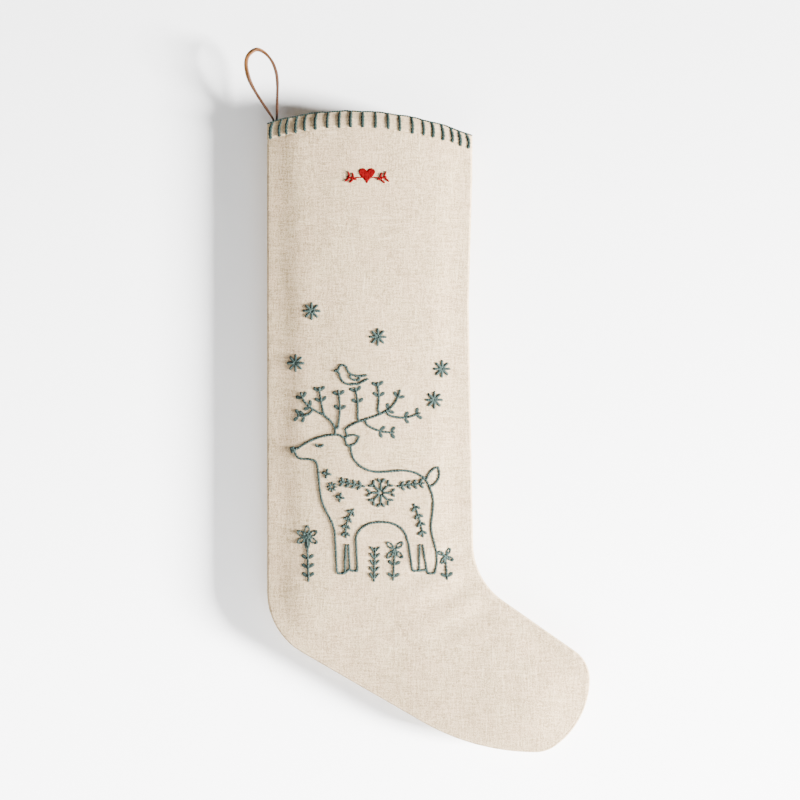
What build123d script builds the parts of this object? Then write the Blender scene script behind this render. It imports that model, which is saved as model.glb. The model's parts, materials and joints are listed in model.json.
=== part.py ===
from build123d import *
import os
from math import atan2, cos, degrees, radians, sin, sqrt

# A hanging Christmas stocking: a lined linen bag of leg and foot, sewn from a front and a back
# panel, blanket-stitched round its mouth, embroidered on the front and hung by a leather loop.
# Millimetres. +Z is up along the leg, +X points towards the toe, and the front faces -Y.
# The seam between the panels lies in the plane Y = 0. The origin is the point inside the top
# of the leather loop where a hook carries the stocking.

# ---- Driving dimensions: the cut of the bag ----
LEG_LEFT = 8.8  # straight back edge of the leg
LEG_RIGHT = 168.4  # front edge of the leg at its narrowest
MOUTH_RIGHT = 171.2  # front edge of the leg at the mouth
NARROWEST_Z = -200.0
MOUTH_Z = -100.0  # the leg's edges are upright above this height
CUT_TOP = -30.0  # the outline closes here, above the rim that trims it
HEEL_TOP = -428.0
HEEL_RADIUS = 55.0
SOLE_SLOPE = 30.0  # degrees that the sole falls from heel to ball
SOLE_LENGTH = 110.0
BALL_RADIUS = 180.0
TOE_LOW_RADIUS = 26.0
TOE_LOW_TURN = 35.0
TOE_END_RADIUS = 65.0
TOE_TOP_RADIUS = 27.0
INSTEP_TURN = 55.0  # degrees from upright that the instep leans
INSTEP_LENGTH = 70.0
ANKLE_RADIUS = 55.0

# The rim of the mouth: two arcs that meet level at its highest point
RIM_PEAK = (73.0, -48.6)
RIM_LEFT_RADIUS = 234.0
RIM_RIGHT_RADIUS = 268.0
RIM_LEFT_TURN = 20.0
RIM_RIGHT_TURN = 25.0

# ---- Driving dimensions: the filled-out form ----
FRONT_DEPTH = 22.0  # seam plane to the flat of the front
FRONT_INSET = 14.0  # how far the front's sides lean in over that depth
BACK_DEPTH = 12.0
BACK_INSET = 10.0
FABRIC = 0.9  # linen
HEM = 2 * FABRIC  # linen turned in once
HEM_DROP = 14.0  # height of the hem
LINING = 0.5  # lining cotton
LINING_DROP = 12.2  # the lining starts under the foot of the hem
LINING_SEAM_INSET = 9.0
FRONT_LINING_DEPTH = 19.9
BACK_LINING_DEPTH = 9.0
BAND_RECESS = 1.0  # the back's stitched band lies in from its flat face
BAND_DROP = 15.0
FLANGE = 4.0  # seam allowance left inside the bag
LINING_FLANGE = 4.0
FLANGE_TOP = -82.0  # the allowances start below the loop's tails
REACH = 1000.0  # the side of a cutting block, larger than the whole bag

# ---- Driving dimensions: threads ----
BAR_COUNT = 20  # blanket stitches on each panel
BAR_SPREAD = 50.0  # degrees: the bars crowd together towards the rounded sides
FRONT_BAR_MARGIN = 2.4  # from the outermost bar to the seam
BACK_BAR_MARGIN = 4.5  # the back's bars keep clear of the loop's tails
BAR_UNEVEN = 0.5  # the most that a bar strays along the rim
BAR_UNEVEN_PHASE = 5.0  # radians from bar to bar, so that the straying never repeats
BAR_LENGTH = 11.0
BAR_WIDTH = 1.8
BAR_HEIGHT = 0.8
BAR_LIFT = 0.5  # room over the sloping rim
CORNER_ROOM = 3.0  # from a bar to a corner between flat and sloping side
EDGE_THREAD_RADIUS = 0.45
EDGE_GAP = 0.9  # between a bar and the edge thread beside it
SEAM_PITCH = 5.0
SEAM_STITCH = 3.4
SEAM_THREAD = 0.5
SEAM_LINE = 2.6  # stitch line, in from the outer edge
LINING_SEAM_LINE = 7.2
HEM_PITCH = 4.0
HEM_STITCH = 2.6
HEM_THREAD = 0.4
HEM_LINE_DROP = 13.1
THREAD_HEIGHT = 0.5  # embroidery thread stands this proud
RUN_PITCH = 2.7
RUN_STITCH = 2.2
RUN_WIDTH = 0.95
LEAF_LENGTH = 4.0
LEAF_ROOT = 0.8
LEAF_TIP = 1.7
STAR_RADIUS = 6.6
STAR_GAP = 1.6  # from a star's middle to the root of its rays
ROOT_GAP = 1.35  # from a stem's middle to the root of its leaf
PETAL_GAP = 2.0
PETAL_WIDTH = 0.5  # of the petal's length
PETAL_THREAD = 0.7
PETAL_STITCH = 0.8  # of a third of the petal's length
STEM_GAP = 1.4  # from a flower's middle to the top of its stem

# ---- Driving dimensions: the leather loop ----
LACE_THICKNESS = 1.7
LACE_WIDTH = 3.0
LOOP_PIVOT = (15.2, -53.5)
LOOP_EYE_RADIUS = 12.5  # outside of the round top
LOOP_FOOT_RADIUS = 1.9
LOOP_CLEARANCE = 0.35
TAIL_LENGTH = 20.0
TAIL_GAP = 0.2
TACK_COUNT = 4
TACK_PITCH = 1.6
TACK_DROP = 16.5  # middle of the tack, below the tails' top
TACK_THREAD = 0.6

FRONT_LEAN = degrees(atan2(FRONT_INSET, FRONT_DEPTH))
BACK_LEAN = degrees(atan2(BACK_INSET, BACK_DEPTH))
FRONT_FACE = Plane.XZ.offset(FRONT_DEPTH)

os.makedirs("parts", exist_ok=True)


def save(part, name):
    part.label = name
    export_step(part, f"parts/{name}.step")
    print(name, "solids", len(part.solids()))


# ---- The cut of the bag ----


def bag_outline(inset=0.0):
    """The flat cut of one panel, pulled in from its edge, running on past the rim."""
    with BuildSketch(Plane.XZ) as cut:
        with BuildLine():
            leg = Line((LEG_LEFT, CUT_TOP), (LEG_LEFT, HEEL_TOP))
            heel = JernArc(leg @ 1, leg % 1, HEEL_RADIUS, 90 - SOLE_SLOPE)
            sole = PolarLine(heel @ 1, SOLE_LENGTH, direction=heel % 1)
            ball = JernArc(sole @ 1, sole % 1, BALL_RADIUS, SOLE_SLOPE)
            toe_low = JernArc(ball @ 1, ball % 1, TOE_LOW_RADIUS, TOE_LOW_TURN)
            toe_end = JernArc(toe_low @ 1, toe_low % 1, TOE_END_RADIUS, 90 - TOE_LOW_TURN)
            toe_top = JernArc(toe_end @ 1, toe_end % 1, TOE_TOP_RADIUS, INSTEP_TURN)
            instep = PolarLine(toe_top @ 1, INSTEP_LENGTH, direction=toe_top % 1)
            ankle = JernArc(instep @ 1, instep % 1, ANKLE_RADIUS, -INSTEP_TURN)
            Polyline(
                ankle @ 1,
                (LEG_RIGHT, NARROWEST_Z),
                (MOUTH_RIGHT, MOUTH_Z),
                (MOUTH_RIGHT, CUT_TOP),
                leg @ 0,
            )
        make_face()
        if inset:
            offset(amount=-inset, kind=Kind.INTERSECTION)
    return cut.sketch


def above_rim(drop=0.0):
    """Everything above the rim's curve lowered by drop, through the whole depth."""
    with BuildPart() as block:
        with BuildSketch(Plane.XZ):
            with BuildLine():
                peak = (RIM_PEAK[0], RIM_PEAK[1] - drop)
                right = JernArc(peak, (1, 0), RIM_RIGHT_RADIUS, -RIM_RIGHT_TURN)
                left = JernArc(peak, (-1, 0), RIM_LEFT_RADIUS, RIM_LEFT_TURN)
                Polyline(
                    right @ 1,
                    ((right @ 1).X, CUT_TOP + 1),
                    ((left @ 1).X, CUT_TOP + 1),
                    left @ 1,
                )
            make_face()
        extrude(amount=2 * FRONT_DEPTH, both=True)
    return block.part


def below_level(z):
    """Everything below the height z."""
    with BuildPart() as block:
        with BuildSketch(Plane.XY.offset(z)):
            Rectangle(REACH, REACH)
        extrude(amount=-REACH)
    return block.part


def tray(seam_inset, depth, lean):
    """A solid block from the seam plane to a flat front, its sides leaning in."""
    with BuildPart() as block:
        extrude(to_extrude=bag_outline(seam_inset), amount=depth, taper=lean)
    return block.part


def flange(outer_inset, inner_inset, thickness):
    """A seam allowance: a flat strip along the seam, from one inset to the other."""
    with BuildPart() as strip:
        extrude(to_extrude=bag_outline(outer_inset), amount=thickness)
        extrude(to_extrude=bag_outline(inner_inset), amount=thickness, mode=Mode.SUBTRACT)
        add(below_level(FLANGE_TOP), mode=Mode.INTERSECT)
    return strip.part


def linen_panel(depth, lean, recess):
    """One outer panel with its turned-in hem and seam allowance, flat side towards -Y."""
    wall = FABRIC / cos(radians(lean))
    hem_wall = HEM / cos(radians(lean))
    with BuildPart() as hollow:
        add(tray(wall, depth - FABRIC, lean))
        add(above_rim(HEM_DROP), mode=Mode.SUBTRACT)
    with BuildPart() as panel:
        add(tray(0, depth, lean))
        add(tray(hem_wall, depth - recess - HEM, lean), mode=Mode.SUBTRACT)
        add(hollow.part, mode=Mode.SUBTRACT)
        add(above_rim(), mode=Mode.SUBTRACT)
        if recess:
            with BuildPart(mode=Mode.PRIVATE) as band:
                with BuildSketch(Plane.XZ.offset(depth - recess)):
                    Rectangle(REACH, REACH)
                extrude(amount=2 * recess)
                add(above_rim(BAND_DROP), mode=Mode.INTERSECT)
            add(band.part, mode=Mode.SUBTRACT)
        add(flange(wall / 2, FLANGE, FABRIC))
    return panel.part


def lining_panel(depth, lean):
    """One lining panel with its seam allowance turned out, flat side towards -Y."""
    wall = LINING / cos(radians(lean))
    with BuildPart() as panel:
        add(tray(LINING_SEAM_INSET, depth, lean))
        add(tray(LINING_SEAM_INSET + wall, depth - LINING, lean), mode=Mode.SUBTRACT)
        add(above_rim(LINING_DROP), mode=Mode.SUBTRACT)
        add(flange(LINING_SEAM_INSET - LINING_FLANGE, LINING_SEAM_INSET + wall, LINING))
    return panel.part


with BuildPart() as front_panel:
    add(linen_panel(FRONT_DEPTH, FRONT_LEAN, 0))
save(front_panel.part, "front_panel")

with BuildPart() as back_panel:
    add(mirror(linen_panel(BACK_DEPTH, BACK_LEAN, BAND_RECESS), Plane.XZ))
save(back_panel.part, "back_panel")

with BuildPart() as front_lining:
    add(lining_panel(FRONT_LINING_DEPTH, FRONT_LEAN))
save(front_lining.part, "front_lining")

with BuildPart() as back_lining:
    add(mirror(lining_panel(BACK_LINING_DEPTH, BACK_LEAN), Plane.XZ))
save(back_lining.part, "back_lining")


# ---- Seam threads ----


def seam_places(inset, pitch):
    """Evenly spaced places along the seam line, each turned to its direction."""
    seam = bag_outline(inset).wire()
    count = round(seam.length / pitch)
    places = []
    for i in range(count):
        point = seam @ (i / count)
        tangent = seam % (i / count)
        if point.Z < FLANGE_TOP - SEAM_STITCH:
            turn = degrees(atan2(tangent.Z, tangent.X))
            places.append(Location((point.X, point.Z, 0), (0, 0, turn)))
    return places


def seam_thread(inset, cloth):
    """A lockstitch through both allowances, standing its own thickness out of each."""
    reach = cloth + SEAM_THREAD
    with BuildPart() as thread:
        with BuildSketch(Plane.XZ.offset(-reach)):
            with Locations(*seam_places(inset, SEAM_PITCH)):
                Rectangle(SEAM_STITCH, SEAM_THREAD)
        extrude(amount=2 * reach)
    return thread.part


with BuildPart() as outer_seam_thread:
    add(seam_thread(SEAM_LINE, FABRIC))
save(outer_seam_thread.part, "outer_seam_thread")

with BuildPart() as lining_seam_thread:
    add(seam_thread(LINING_SEAM_LINE, LINING))
save(lining_seam_thread.part, "lining_seam_thread")


# ---- Blanket stitches round the mouth ----


def rim_height(x):
    """The height of the rim's curve at x."""
    radius = RIM_LEFT_RADIUS if x < RIM_PEAK[0] else RIM_RIGHT_RADIUS
    return RIM_PEAK[1] - radius + sqrt(radius**2 - (x - RIM_PEAK[0]) ** 2)


def bar_x(i, margin):
    """Where a bar crosses the rim: evenly round the swelling side, with a hand's unevenness."""
    middle = (LEG_LEFT + MOUTH_RIGHT) / 2
    half = (MOUTH_RIGHT - LEG_LEFT) / 2 - margin
    angle = BAR_SPREAD * (2 * i / (BAR_COUNT - 1) - 1)
    uneven = BAR_UNEVEN * sin(BAR_UNEVEN_PHASE * i) if 0 < i < BAR_COUNT - 1 else 0.0
    return middle + half * sin(radians(angle)) / sin(radians(BAR_SPREAD)) + uneven


def clear_of_corners(x, inset):
    """The same crossing, pushed on to the flat where it would straddle a corner."""
    for corner, way in ((LEG_LEFT + inset, 1), (MOUTH_RIGHT - inset, -1)):
        if abs(x - corner) < CORNER_ROOM:
            x = corner + way * CORNER_ROOM
    return x


def rim_place(x, depth, inset, side):
    """The outer surface at the rim, and the way it faces, for side -1 front or 1 back."""
    from_left = x - LEG_LEFT
    from_right = MOUTH_RIGHT - x
    lean = atan2(inset, depth)
    if from_left < inset:
        return (x, side * from_left * depth / inset), (-cos(lean), side * sin(lean))
    if from_right < inset:
        return (x, side * from_right * depth / inset), (cos(lean), side * sin(lean))
    return (x, side * depth), (0, side)


def up_sign(plane):
    """The sign that makes a profile hang down from the plane's origin."""
    return -1 if plane.y_dir.Z > 0 else 1


def blanket_bar(x, depth, inset, side):
    """One U-shaped stitch over the rim: a bar outside, a bar inside, a bridge between."""
    (px, py), (nx, ny) = rim_place(x, depth, inset, side)
    top = max(rim_height(px), rim_height(px - nx * HEM)) + BAR_LIFT + BAR_HEIGHT
    across = HEM + 2 * BAR_HEIGHT
    turn = degrees(atan2(ny, nx))
    plane = Plane(
        origin=(px + nx * BAR_HEIGHT, py + ny * BAR_HEIGHT, top),
        x_dir=(-nx, -ny, 0),
        z_dir=(sin(radians(turn)), -cos(radians(turn)), 0),
    )
    height = BAR_LENGTH + BAR_LIFT + BAR_HEIGHT
    with BuildPart() as bar:
        with BuildSketch(plane):
            with Locations((across / 2, height / 2 * up_sign(plane))):
                Rectangle(across, height)
            with Locations((across / 2, (height / 2 + BAR_HEIGHT) * up_sign(plane))):
                Rectangle(HEM, height, mode=Mode.SUBTRACT)
        extrude(amount=BAR_WIDTH / 2, both=True)
    return bar.part


def edge_point(x, depth, inset, side):
    """The middle of the thread that lies along the rim."""
    (px, py), (nx, ny) = rim_place(x, depth, inset, side)
    height = rim_height(x) + BAR_LIFT + EDGE_THREAD_RADIUS
    return Vector(px - nx * HEM / 2, py - ny * HEM / 2, height)


def edge_run(start, end):
    """The thread along the rim from one bar to just short of the next."""
    way = (end - start).normalized()
    room = BAR_WIDTH / 2 + EDGE_GAP
    with BuildPart() as run:
        with BuildSketch(Plane(origin=start + way * room, z_dir=way)):
            Circle(EDGE_THREAD_RADIUS)
        extrude(amount=(end - start).length - 2 * room)
    return run.part


def blanket_stitch(depth, inset, side, margin, name):
    """A panel's row of bars, with the edge thread that runs from bar to bar."""
    crossings = [clear_of_corners(bar_x(i, margin), inset) for i in range(BAR_COUNT)]
    bars = [blanket_bar(x, depth, inset, side) for x in crossings]
    knots = [edge_point(x, depth, inset, side) for x in crossings]
    runs = [edge_run(a, b) for a, b in zip(knots, knots[1:])]
    with BuildPart() as row:
        add(bars + runs)
    save(row.part, name)


band_depth = BACK_DEPTH - BAND_RECESS
band_inset = BACK_INSET * band_depth / BACK_DEPTH
blanket_stitch(FRONT_DEPTH, FRONT_INSET, -1, FRONT_BAR_MARGIN, "blanket_stitch_front")
blanket_stitch(band_depth, band_inset, 1, BACK_BAR_MARGIN, "blanket_stitch_back")


# ---- Hem topstitch, through the hem and the lining ----


def hem_thread(depth, lining_depth):
    """Machine stitches along the hem, each a staple through linen and lining."""
    start = LEG_LEFT + FRONT_INSET + HEM_PITCH
    count = int((MOUTH_RIGHT - FRONT_INSET - HEM_PITCH - start) / HEM_PITCH)
    crossings = [start + (i + 0.5) * HEM_PITCH for i in range(count)]
    places = [(x, rim_height(x) - HEM_LINE_DROP) for x in crossings]
    leg = (HEM_STITCH - HEM_THREAD) / 2
    with BuildPart() as row:
        with BuildSketch(Plane.XZ.offset(depth)):
            with Locations(*places):
                Rectangle(HEM_STITCH, HEM_THREAD)
        extrude(amount=HEM_THREAD)
        with BuildSketch(Plane.XZ.offset(depth)):
            with Locations(*places):
                with Locations((-leg, 0), (leg, 0)):
                    Rectangle(HEM_THREAD, HEM_THREAD)
        extrude(amount=-(depth - lining_depth + LINING + HEM_THREAD))
    return row.part


with BuildPart() as hem_thread_front:
    add(hem_thread(FRONT_DEPTH, FRONT_LINING_DEPTH))
save(hem_thread_front.part, "hem_thread_front")

with BuildPart() as hem_thread_back:
    add(mirror(hem_thread(band_depth, BACK_LINING_DEPTH), Plane.XZ))
save(hem_thread_back.part, "hem_thread_back")


# ---- The leather loop ----

pivot = Vector(LOOP_PIVOT[0], 0, LOOP_PIVOT[1])
eye_distance = pivot.length + LACE_THICKNESS - LOOP_EYE_RADIUS
loop_plane = Plane(origin=pivot, x_dir=(-pivot.Z, 0, pivot.X), z_dir=(0, -1, 0))

with BuildPart() as hanging_loop:
    with BuildSketch(loop_plane) as teardrop:
        Circle(LOOP_FOOT_RADIUS)
        with Locations((0, eye_distance)):
            Circle(LOOP_EYE_RADIUS)
        make_hull()
        offset(amount=-LACE_THICKNESS, mode=Mode.SUBTRACT)
    extrude(amount=LACE_WIDTH / 2, both=True)
save(hanging_loop.part, "hanging_loop")

tail_top = LOOP_PIVOT[1] - LOOP_FOOT_RADIUS - LOOP_CLEARANCE
with BuildPart() as loop_tails:
    with BuildSketch(Plane.XY.offset(tail_top)):
        for side in (-1, 1):
            with Locations((LOOP_PIVOT[0] + side * (LACE_THICKNESS + TAIL_GAP) / 2, 0)):
                Rectangle(LACE_THICKNESS, LACE_WIDTH)
    extrude(amount=-TAIL_LENGTH)
save(loop_tails.part, "loop_tails")

both_tails = 2 * LACE_THICKNESS + TAIL_GAP
with BuildPart() as loop_tack:
    for i in range(TACK_COUNT):
        height = tail_top - TACK_DROP + (i - (TACK_COUNT - 1) / 2) * TACK_PITCH
        with BuildSketch(Plane.XY.offset(height)):
            with Locations((LOOP_PIVOT[0], 0)):
                Rectangle(both_tails + 2 * TACK_THREAD, LACE_WIDTH + 2 * TACK_THREAD)
                Rectangle(both_tails, LACE_WIDTH, mode=Mode.SUBTRACT)
        extrude(amount=TACK_THREAD)
save(loop_tack.part, "loop_tack")


# ---- Embroidery: stitches on the flat of the front ----
# A motif is a list of groups, each a stitch's own corners and the places where it is sewn.

RUN_SHAPE = [
    (-RUN_STITCH / 2, -RUN_WIDTH / 2),
    (RUN_STITCH / 2, -RUN_WIDTH / 2),
    (RUN_STITCH / 2, RUN_WIDTH / 2),
    (-RUN_STITCH / 2, RUN_WIDTH / 2),
]


def tapered(length, root, tip):
    """A stitch that starts at its place and widens or narrows to its end."""
    return [(0, -root / 2), (length, -tip / 2), (length, tip / 2), (0, root / 2)]


LEAF_SHAPE = tapered(LEAF_LENGTH, LEAF_ROOT, LEAF_TIP)


def heading(direction):
    return degrees(atan2(direction.Y, direction.X))


def along(path, pitch=RUN_PITCH, skip=0.0, turn=0.0):
    """Evenly spaced places along a path, after a stretch left bare at its start."""
    length = path.length - skip
    count = max(1, round(length / pitch))
    places = []
    for i in range(count):
        at = (skip + length * (i + 0.5) / count) / path.length
        places.append(Location(path @ at, (0, 0, heading(path % at) + turn)))
    return places


def beside(path, count, first, last, spread=50.0, gap=ROOT_GAP):
    """Places in pairs along a path, pointing forwards and out to both sides."""
    places = []
    for i in range(count):
        at = first + (last - first) * i / max(1, count - 1)
        for side in (-1, 1):
            turn = heading(path % at) + side * spread
            root = path @ at + Vector(1, 0).rotate(Axis.Z, turn) * gap
            places.append(Location(root, (0, 0, turn)))
    return places


def around(centre, count, gap, first=90.0):
    """Places all round a point, pointing outwards."""
    places = []
    for i in range(count):
        turn = first + 360 * i / count
        root = Vector(*centre) + Vector(1, 0).rotate(Axis.Z, turn) * gap
        places.append(Location(root, (0, 0, turn)))
    return places


def petals(centre, count, length, width, first=90.0):
    """Looped petals all round a point, each outlined with two bowed rows of short stitches."""
    places = []
    for place in around(centre, count, PETAL_GAP, first):
        for side in (-1, 1):
            bow = ThreePointArc((0, side * 0.5), (length / 2, side * width / 2), (length, side * 0.5))
            places += along(place * bow, pitch=length / 3)
    return places


def embroider(name, groups):
    with BuildPart() as motif:
        with BuildSketch(FRONT_FACE):
            for corners, places in groups:
                with Locations(*places):
                    Polygon(*corners, align=None)
        extrude(amount=THREAD_HEIGHT)
    save(motif.part, name)
    print("  stitches", sum(len(places) for corners, places in groups))


# Reindeer, standing, looking left
POLL = (68.0, -304.0)
brow = Spline((67.0, -303.6), (54.0, -304.6), (41.0, -309.6), (33.5, -314.4))
muzzle = Spline((31.6, -317.6), (34.0, -321.4), (41.0, -322.6), (48.0, -324.6))
chest = Spline((49.2, -327.2), (50.6, -342.0), (53.2, -357.0), (60.4, -372.0), (63.0, -386.0))
back = Spline(
    (75.6, -314.6),
    (81.0, -326.4),
    (94.0, -332.4),
    (114.0, -331.6),
    (129.0, -334.6),
    (137.4, -345.0),
)
rump = Spline((138.6, -348.0), (140.0, -362.0), (138.6, -377.0), (141.4, -390.0), (141.8, -410.6))
belly = Spline((79.4, -385.0), (85.0, -376.0), (99.0, -372.0), (113.0, -375.4), (119.6, -385.4))
ear = [
    ThreePointArc((70.6, -306.0), (76.6, -303.6), (82.2, -305.0)),
    ThreePointArc((80.8, -307.4), (76.6, -311.6), (71.8, -311.4)),
]
legs = [
    Line((63.4, -388.8), (64.4, -411.0)),
    Line((70.6, -411.0), (71.4, -389.6)),
    Line((73.6, -389.6), (74.6, -409.0)),
    Line((80.6, -409.0), (79.6, -388.0)),
    Line((120.8, -388.4), (123.6, -409.0)),
    Line((129.2, -409.0), (129.4, -389.6)),
    Line((131.8, -389.6), (135.4, -411.2)),
]
hooves = [
    Line((65.2, -412.4), (70.6, -412.4)),
    Line((75.4, -410.4), (80.8, -410.4)),
    Line((124.2, -410.4), (129.6, -410.4)),
    Line((136.2, -412.6), (141.6, -412.6)),
]
tail = [
    ThreePointArc((139.6, -343.4), (144.6, -336.6), (143.6, -328.6)),
    ThreePointArc((141.4, -329.6), (137.0, -334.0), (134.8, -338.6)),
]
outline = [brow, muzzle, chest, back, rump, belly, *ear, *legs, *hooves, *tail]
embroider("reindeer_outline", [(RUN_SHAPE, [p for path in outline for p in along(path)])])

NOSE_SHAPE = tapered(3.2, 1.1, 1.1)
nose = [Location((30.6 + 0.5 * i, -313.4 - 1.25 * i, 0), (0, 0, 200)) for i in range(3)]
eyelid = ThreePointArc((47.6, -310.6), (50.6, -312.8), (53.8, -311.0))
embroider("reindeer_face", [(NOSE_SHAPE, nose), (RUN_SHAPE, along(eyelid, pitch=2.4))])

# Antlers: two beams that fan out, with tines
beams = [
    Spline((63.4, -301.2), (58.0, -291.0), (46.0, -283.4), (36.0, -270.0)),
    Spline((69.4, -300.6), (82.0, -293.0), (101.0, -286.0), (114.0, -268.0)),
]
tines = [
    Spline((54.6, -289.4), (52.4, -279.0), (50.4, -266.0)),
    Spline((64.8, -300.0), (66.6, -288.0), (65.4, -268.0)),
    Spline((45.0, -285.2), (38.0, -288.6), (33.0, -288.0)),
    Spline((80.6, -291.6), (80.8, -279.0), (78.6, -266.0)),
    Spline((96.4, -285.6), (97.4, -274.0), (96.2, -262.0)),
    Spline((103.6, -287.2), (116.0, -290.0), (130.0, -286.0)),
    Spline((86.4, -294.2), (97.0, -300.0), (110.0, -301.4)),
]
antler_runs = [p for path in beams + tines for p in along(path, skip=1.7)]
embroider("antlers", [(RUN_SHAPE, antler_runs)])

antler_leaves = [p for path in beams for p in beside(path, 2, 0.66, 0.88)]
for path in tines:
    antler_leaves += beside(path, 2, 0.5, 0.85)
embroider("antler_leaves", [(LEAF_SHAPE, antler_leaves)])

# Ornament on the body: a frost flower with a sprig to each side
FROST = (99.0, -349.0)
frost_arms = around(FROST, 8, STAR_GAP)
FROST_ARM = tapered(6.2, 0.8, 1.0)
frost_tips = []
for arm in around(FROST, 8, 8.6):
    for spread in (-42, 42):
        frost_tips.append(arm * Location((0, 0.75 if spread > 0 else -0.75, 0), (0, 0, spread)))
side_sprigs = [
    Line((86.4, -344.0), (66.0, -340.2)),
    Line((111.6, -344.0), (133.4, -341.4)),
]
sprig_runs = [p for path in side_sprigs for p in along(path)]
sprig_leaves = [p for path in side_sprigs for p in beside(path, 4, 0.12, 0.8, 48)]
SMALL_LEAF = tapered(3.0, 0.8, 1.2)
embroider(
    "saddle_ornament",
    [
        (FROST_ARM, frost_arms),
        (SMALL_LEAF, frost_tips),
        (RUN_SHAPE, sprig_runs),
        (SMALL_LEAF, sprig_leaves),
    ],
)

# Marks down the neck
NECK_CROSSES = [(56.4, -334.0), (67.0, -352.6)]
NECK_STAR = (60.6, -344.4)
CROSS_ARM = tapered(2.6, 1.1, 1.1)
SHORT_RAY = tapered(2.6, 0.6, 0.8)
neck = [
    (CROSS_ARM, [p for centre in NECK_CROSSES for p in around(centre, 4, 0.8, 80)]),
    (SHORT_RAY, around(NECK_STAR, 8, 1.3)),
]
embroider("neck_marks", neck)

# Sprigs on shoulder and haunch
shoulder = Spline((78.0, -361.4), (73.0, -370.6), (71.6, -384.4))
haunch = Spline((124.6, -357.6), (128.8, -368.0), (132.0, -384.0))
leg_runs = along(shoulder) + along(haunch)
leg_leaves = beside(shoulder, 4, 0.08, 0.8, 46) + beside(haunch, 4, 0.08, 0.8, 46)
embroider("leg_sprigs", [(RUN_SHAPE, leg_runs), (SMALL_LEAF, leg_leaves)])

# A bird sitting on the tip of a tine
bird = [
    ThreePointArc((66.0, -252.6), (69.0, -248.6), (72.4, -252.4)),
    ThreePointArc((66.6, -255.0), (70.6, -262.6), (79.0, -263.0)),
    ThreePointArc((73.8, -254.4), (79.6, -257.0), (88.0, -256.4)),
    Line((80.4, -264.0), (89.0, -259.4)),
    ThreePointArc((74.6, -257.6), (77.6, -260.2), (82.4, -259.6)),
]
BEAK = tapered(2.2, 1.0, 0.7)
bird_beak = [Location((64.6, -253.0, 0), (0, 0, 190))]
embroider("bird", [(RUN_SHAPE, [p for path in bird for p in along(path)]), (BEAK, bird_beak)])

# Stars over the antlers
STARS = [(44.5, -206.0), (96.5, -226.5), (31.8, -247.0), (147.0, -251.5), (141.0, -276.0)]
STAR_RAY = tapered(STAR_RADIUS - STAR_GAP, 0.8, 1.05)
embroider("stars", [(STAR_RAY, [p for centre in STARS for p in around(centre, 8, STAR_GAP)])])


# Plants along the ground
def plant(name, centre, petal_count, petal_length, foot, pairs, first=90.0):
    """A flower on a stem with pairs of leaves."""
    stem = Line(foot, (centre[0], centre[1] - STEM_GAP))
    groups = [(RUN_SHAPE, along(stem)), (LEAF_SHAPE, beside(stem, pairs, 0.1, 0.52, 52))]
    loops = petals(centre, petal_count, petal_length, petal_length * PETAL_WIDTH, first)
    stitch = tapered(petal_length / 3 * PETAL_STITCH, PETAL_THREAD, PETAL_THREAD)
    groups.append((stitch, [p * Location((-PETAL_THREAD, 0, 0)) for p in loops]))
    embroider(name, groups)


plant("tall_flower", (41.0, -384.0), 6, 6.6, (42.0, -419.0), 3)
plant("meadow_flower", (110.0, -394.0), 4, 6.2, (108.6, -418.0), 2, 45.0)
plant("small_flower", (150.0, -399.0), 4, 4.6, (151.2, -417.6), 1, 60.0)

fern_stem = Line((93.6, -419.0), (94.4, -392.0))
fern_leaves = beside(fern_stem, 5, 0.08, 0.86, 40)
embroider("fern", [(RUN_SHAPE, along(fern_stem)), (tapered(4.4, 0.9, 0.9), fern_leaves)])

# A red heart between two sprigs, under the rim
HEART = (88.0, -101.0)
SATIN = [(-0.2, -0.95), (0.2, -0.95), (0.2, 0.95), (-0.2, 0.95)]
lobe = Spline((0, 3.4), (3.2, 6.6), (6.6, 3.4), (4.4, -1.6), (0.9, -5.6), tangents=((0.35, 1), (-0.7, -0.7)))
heart_places = along(lobe, pitch=0.72, skip=1.2)
heart = []
for place in heart_places:
    x, z, turn = place.position.X, place.position.Y, place.orientation.Z
    heart.append(Location((HEART[0] + x, HEART[1] + z, 0), (0, 0, turn)))
    heart.append(Location((HEART[0] - x, HEART[1] + z, 0), (0, 0, 180 - turn)))
red_sprigs = [
    Line((HEART[0] - 8.4, HEART[1] - 1.6), (HEART[0] - 15.0, HEART[1] + 0.4)),
    Line((HEART[0] + 8.4, HEART[1] - 1.6), (HEART[0] + 15.0, HEART[1] + 0.4)),
]
red_runs = [p for path in red_sprigs for p in along(path)]
red_leaves = [p for path in red_sprigs for p in beside(path, 2, 0.25, 0.75, 55)]
embroider("red_heart", [(SATIN, heart), (RUN_SHAPE, red_runs), (tapered(3.4, 0.9, 1.7), red_leaves)])
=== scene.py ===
import json
import math
import random

import bmesh
import bpy
import numpy as np
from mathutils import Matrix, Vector, noise
from mathutils.bvhtree import BVHTree


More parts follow.
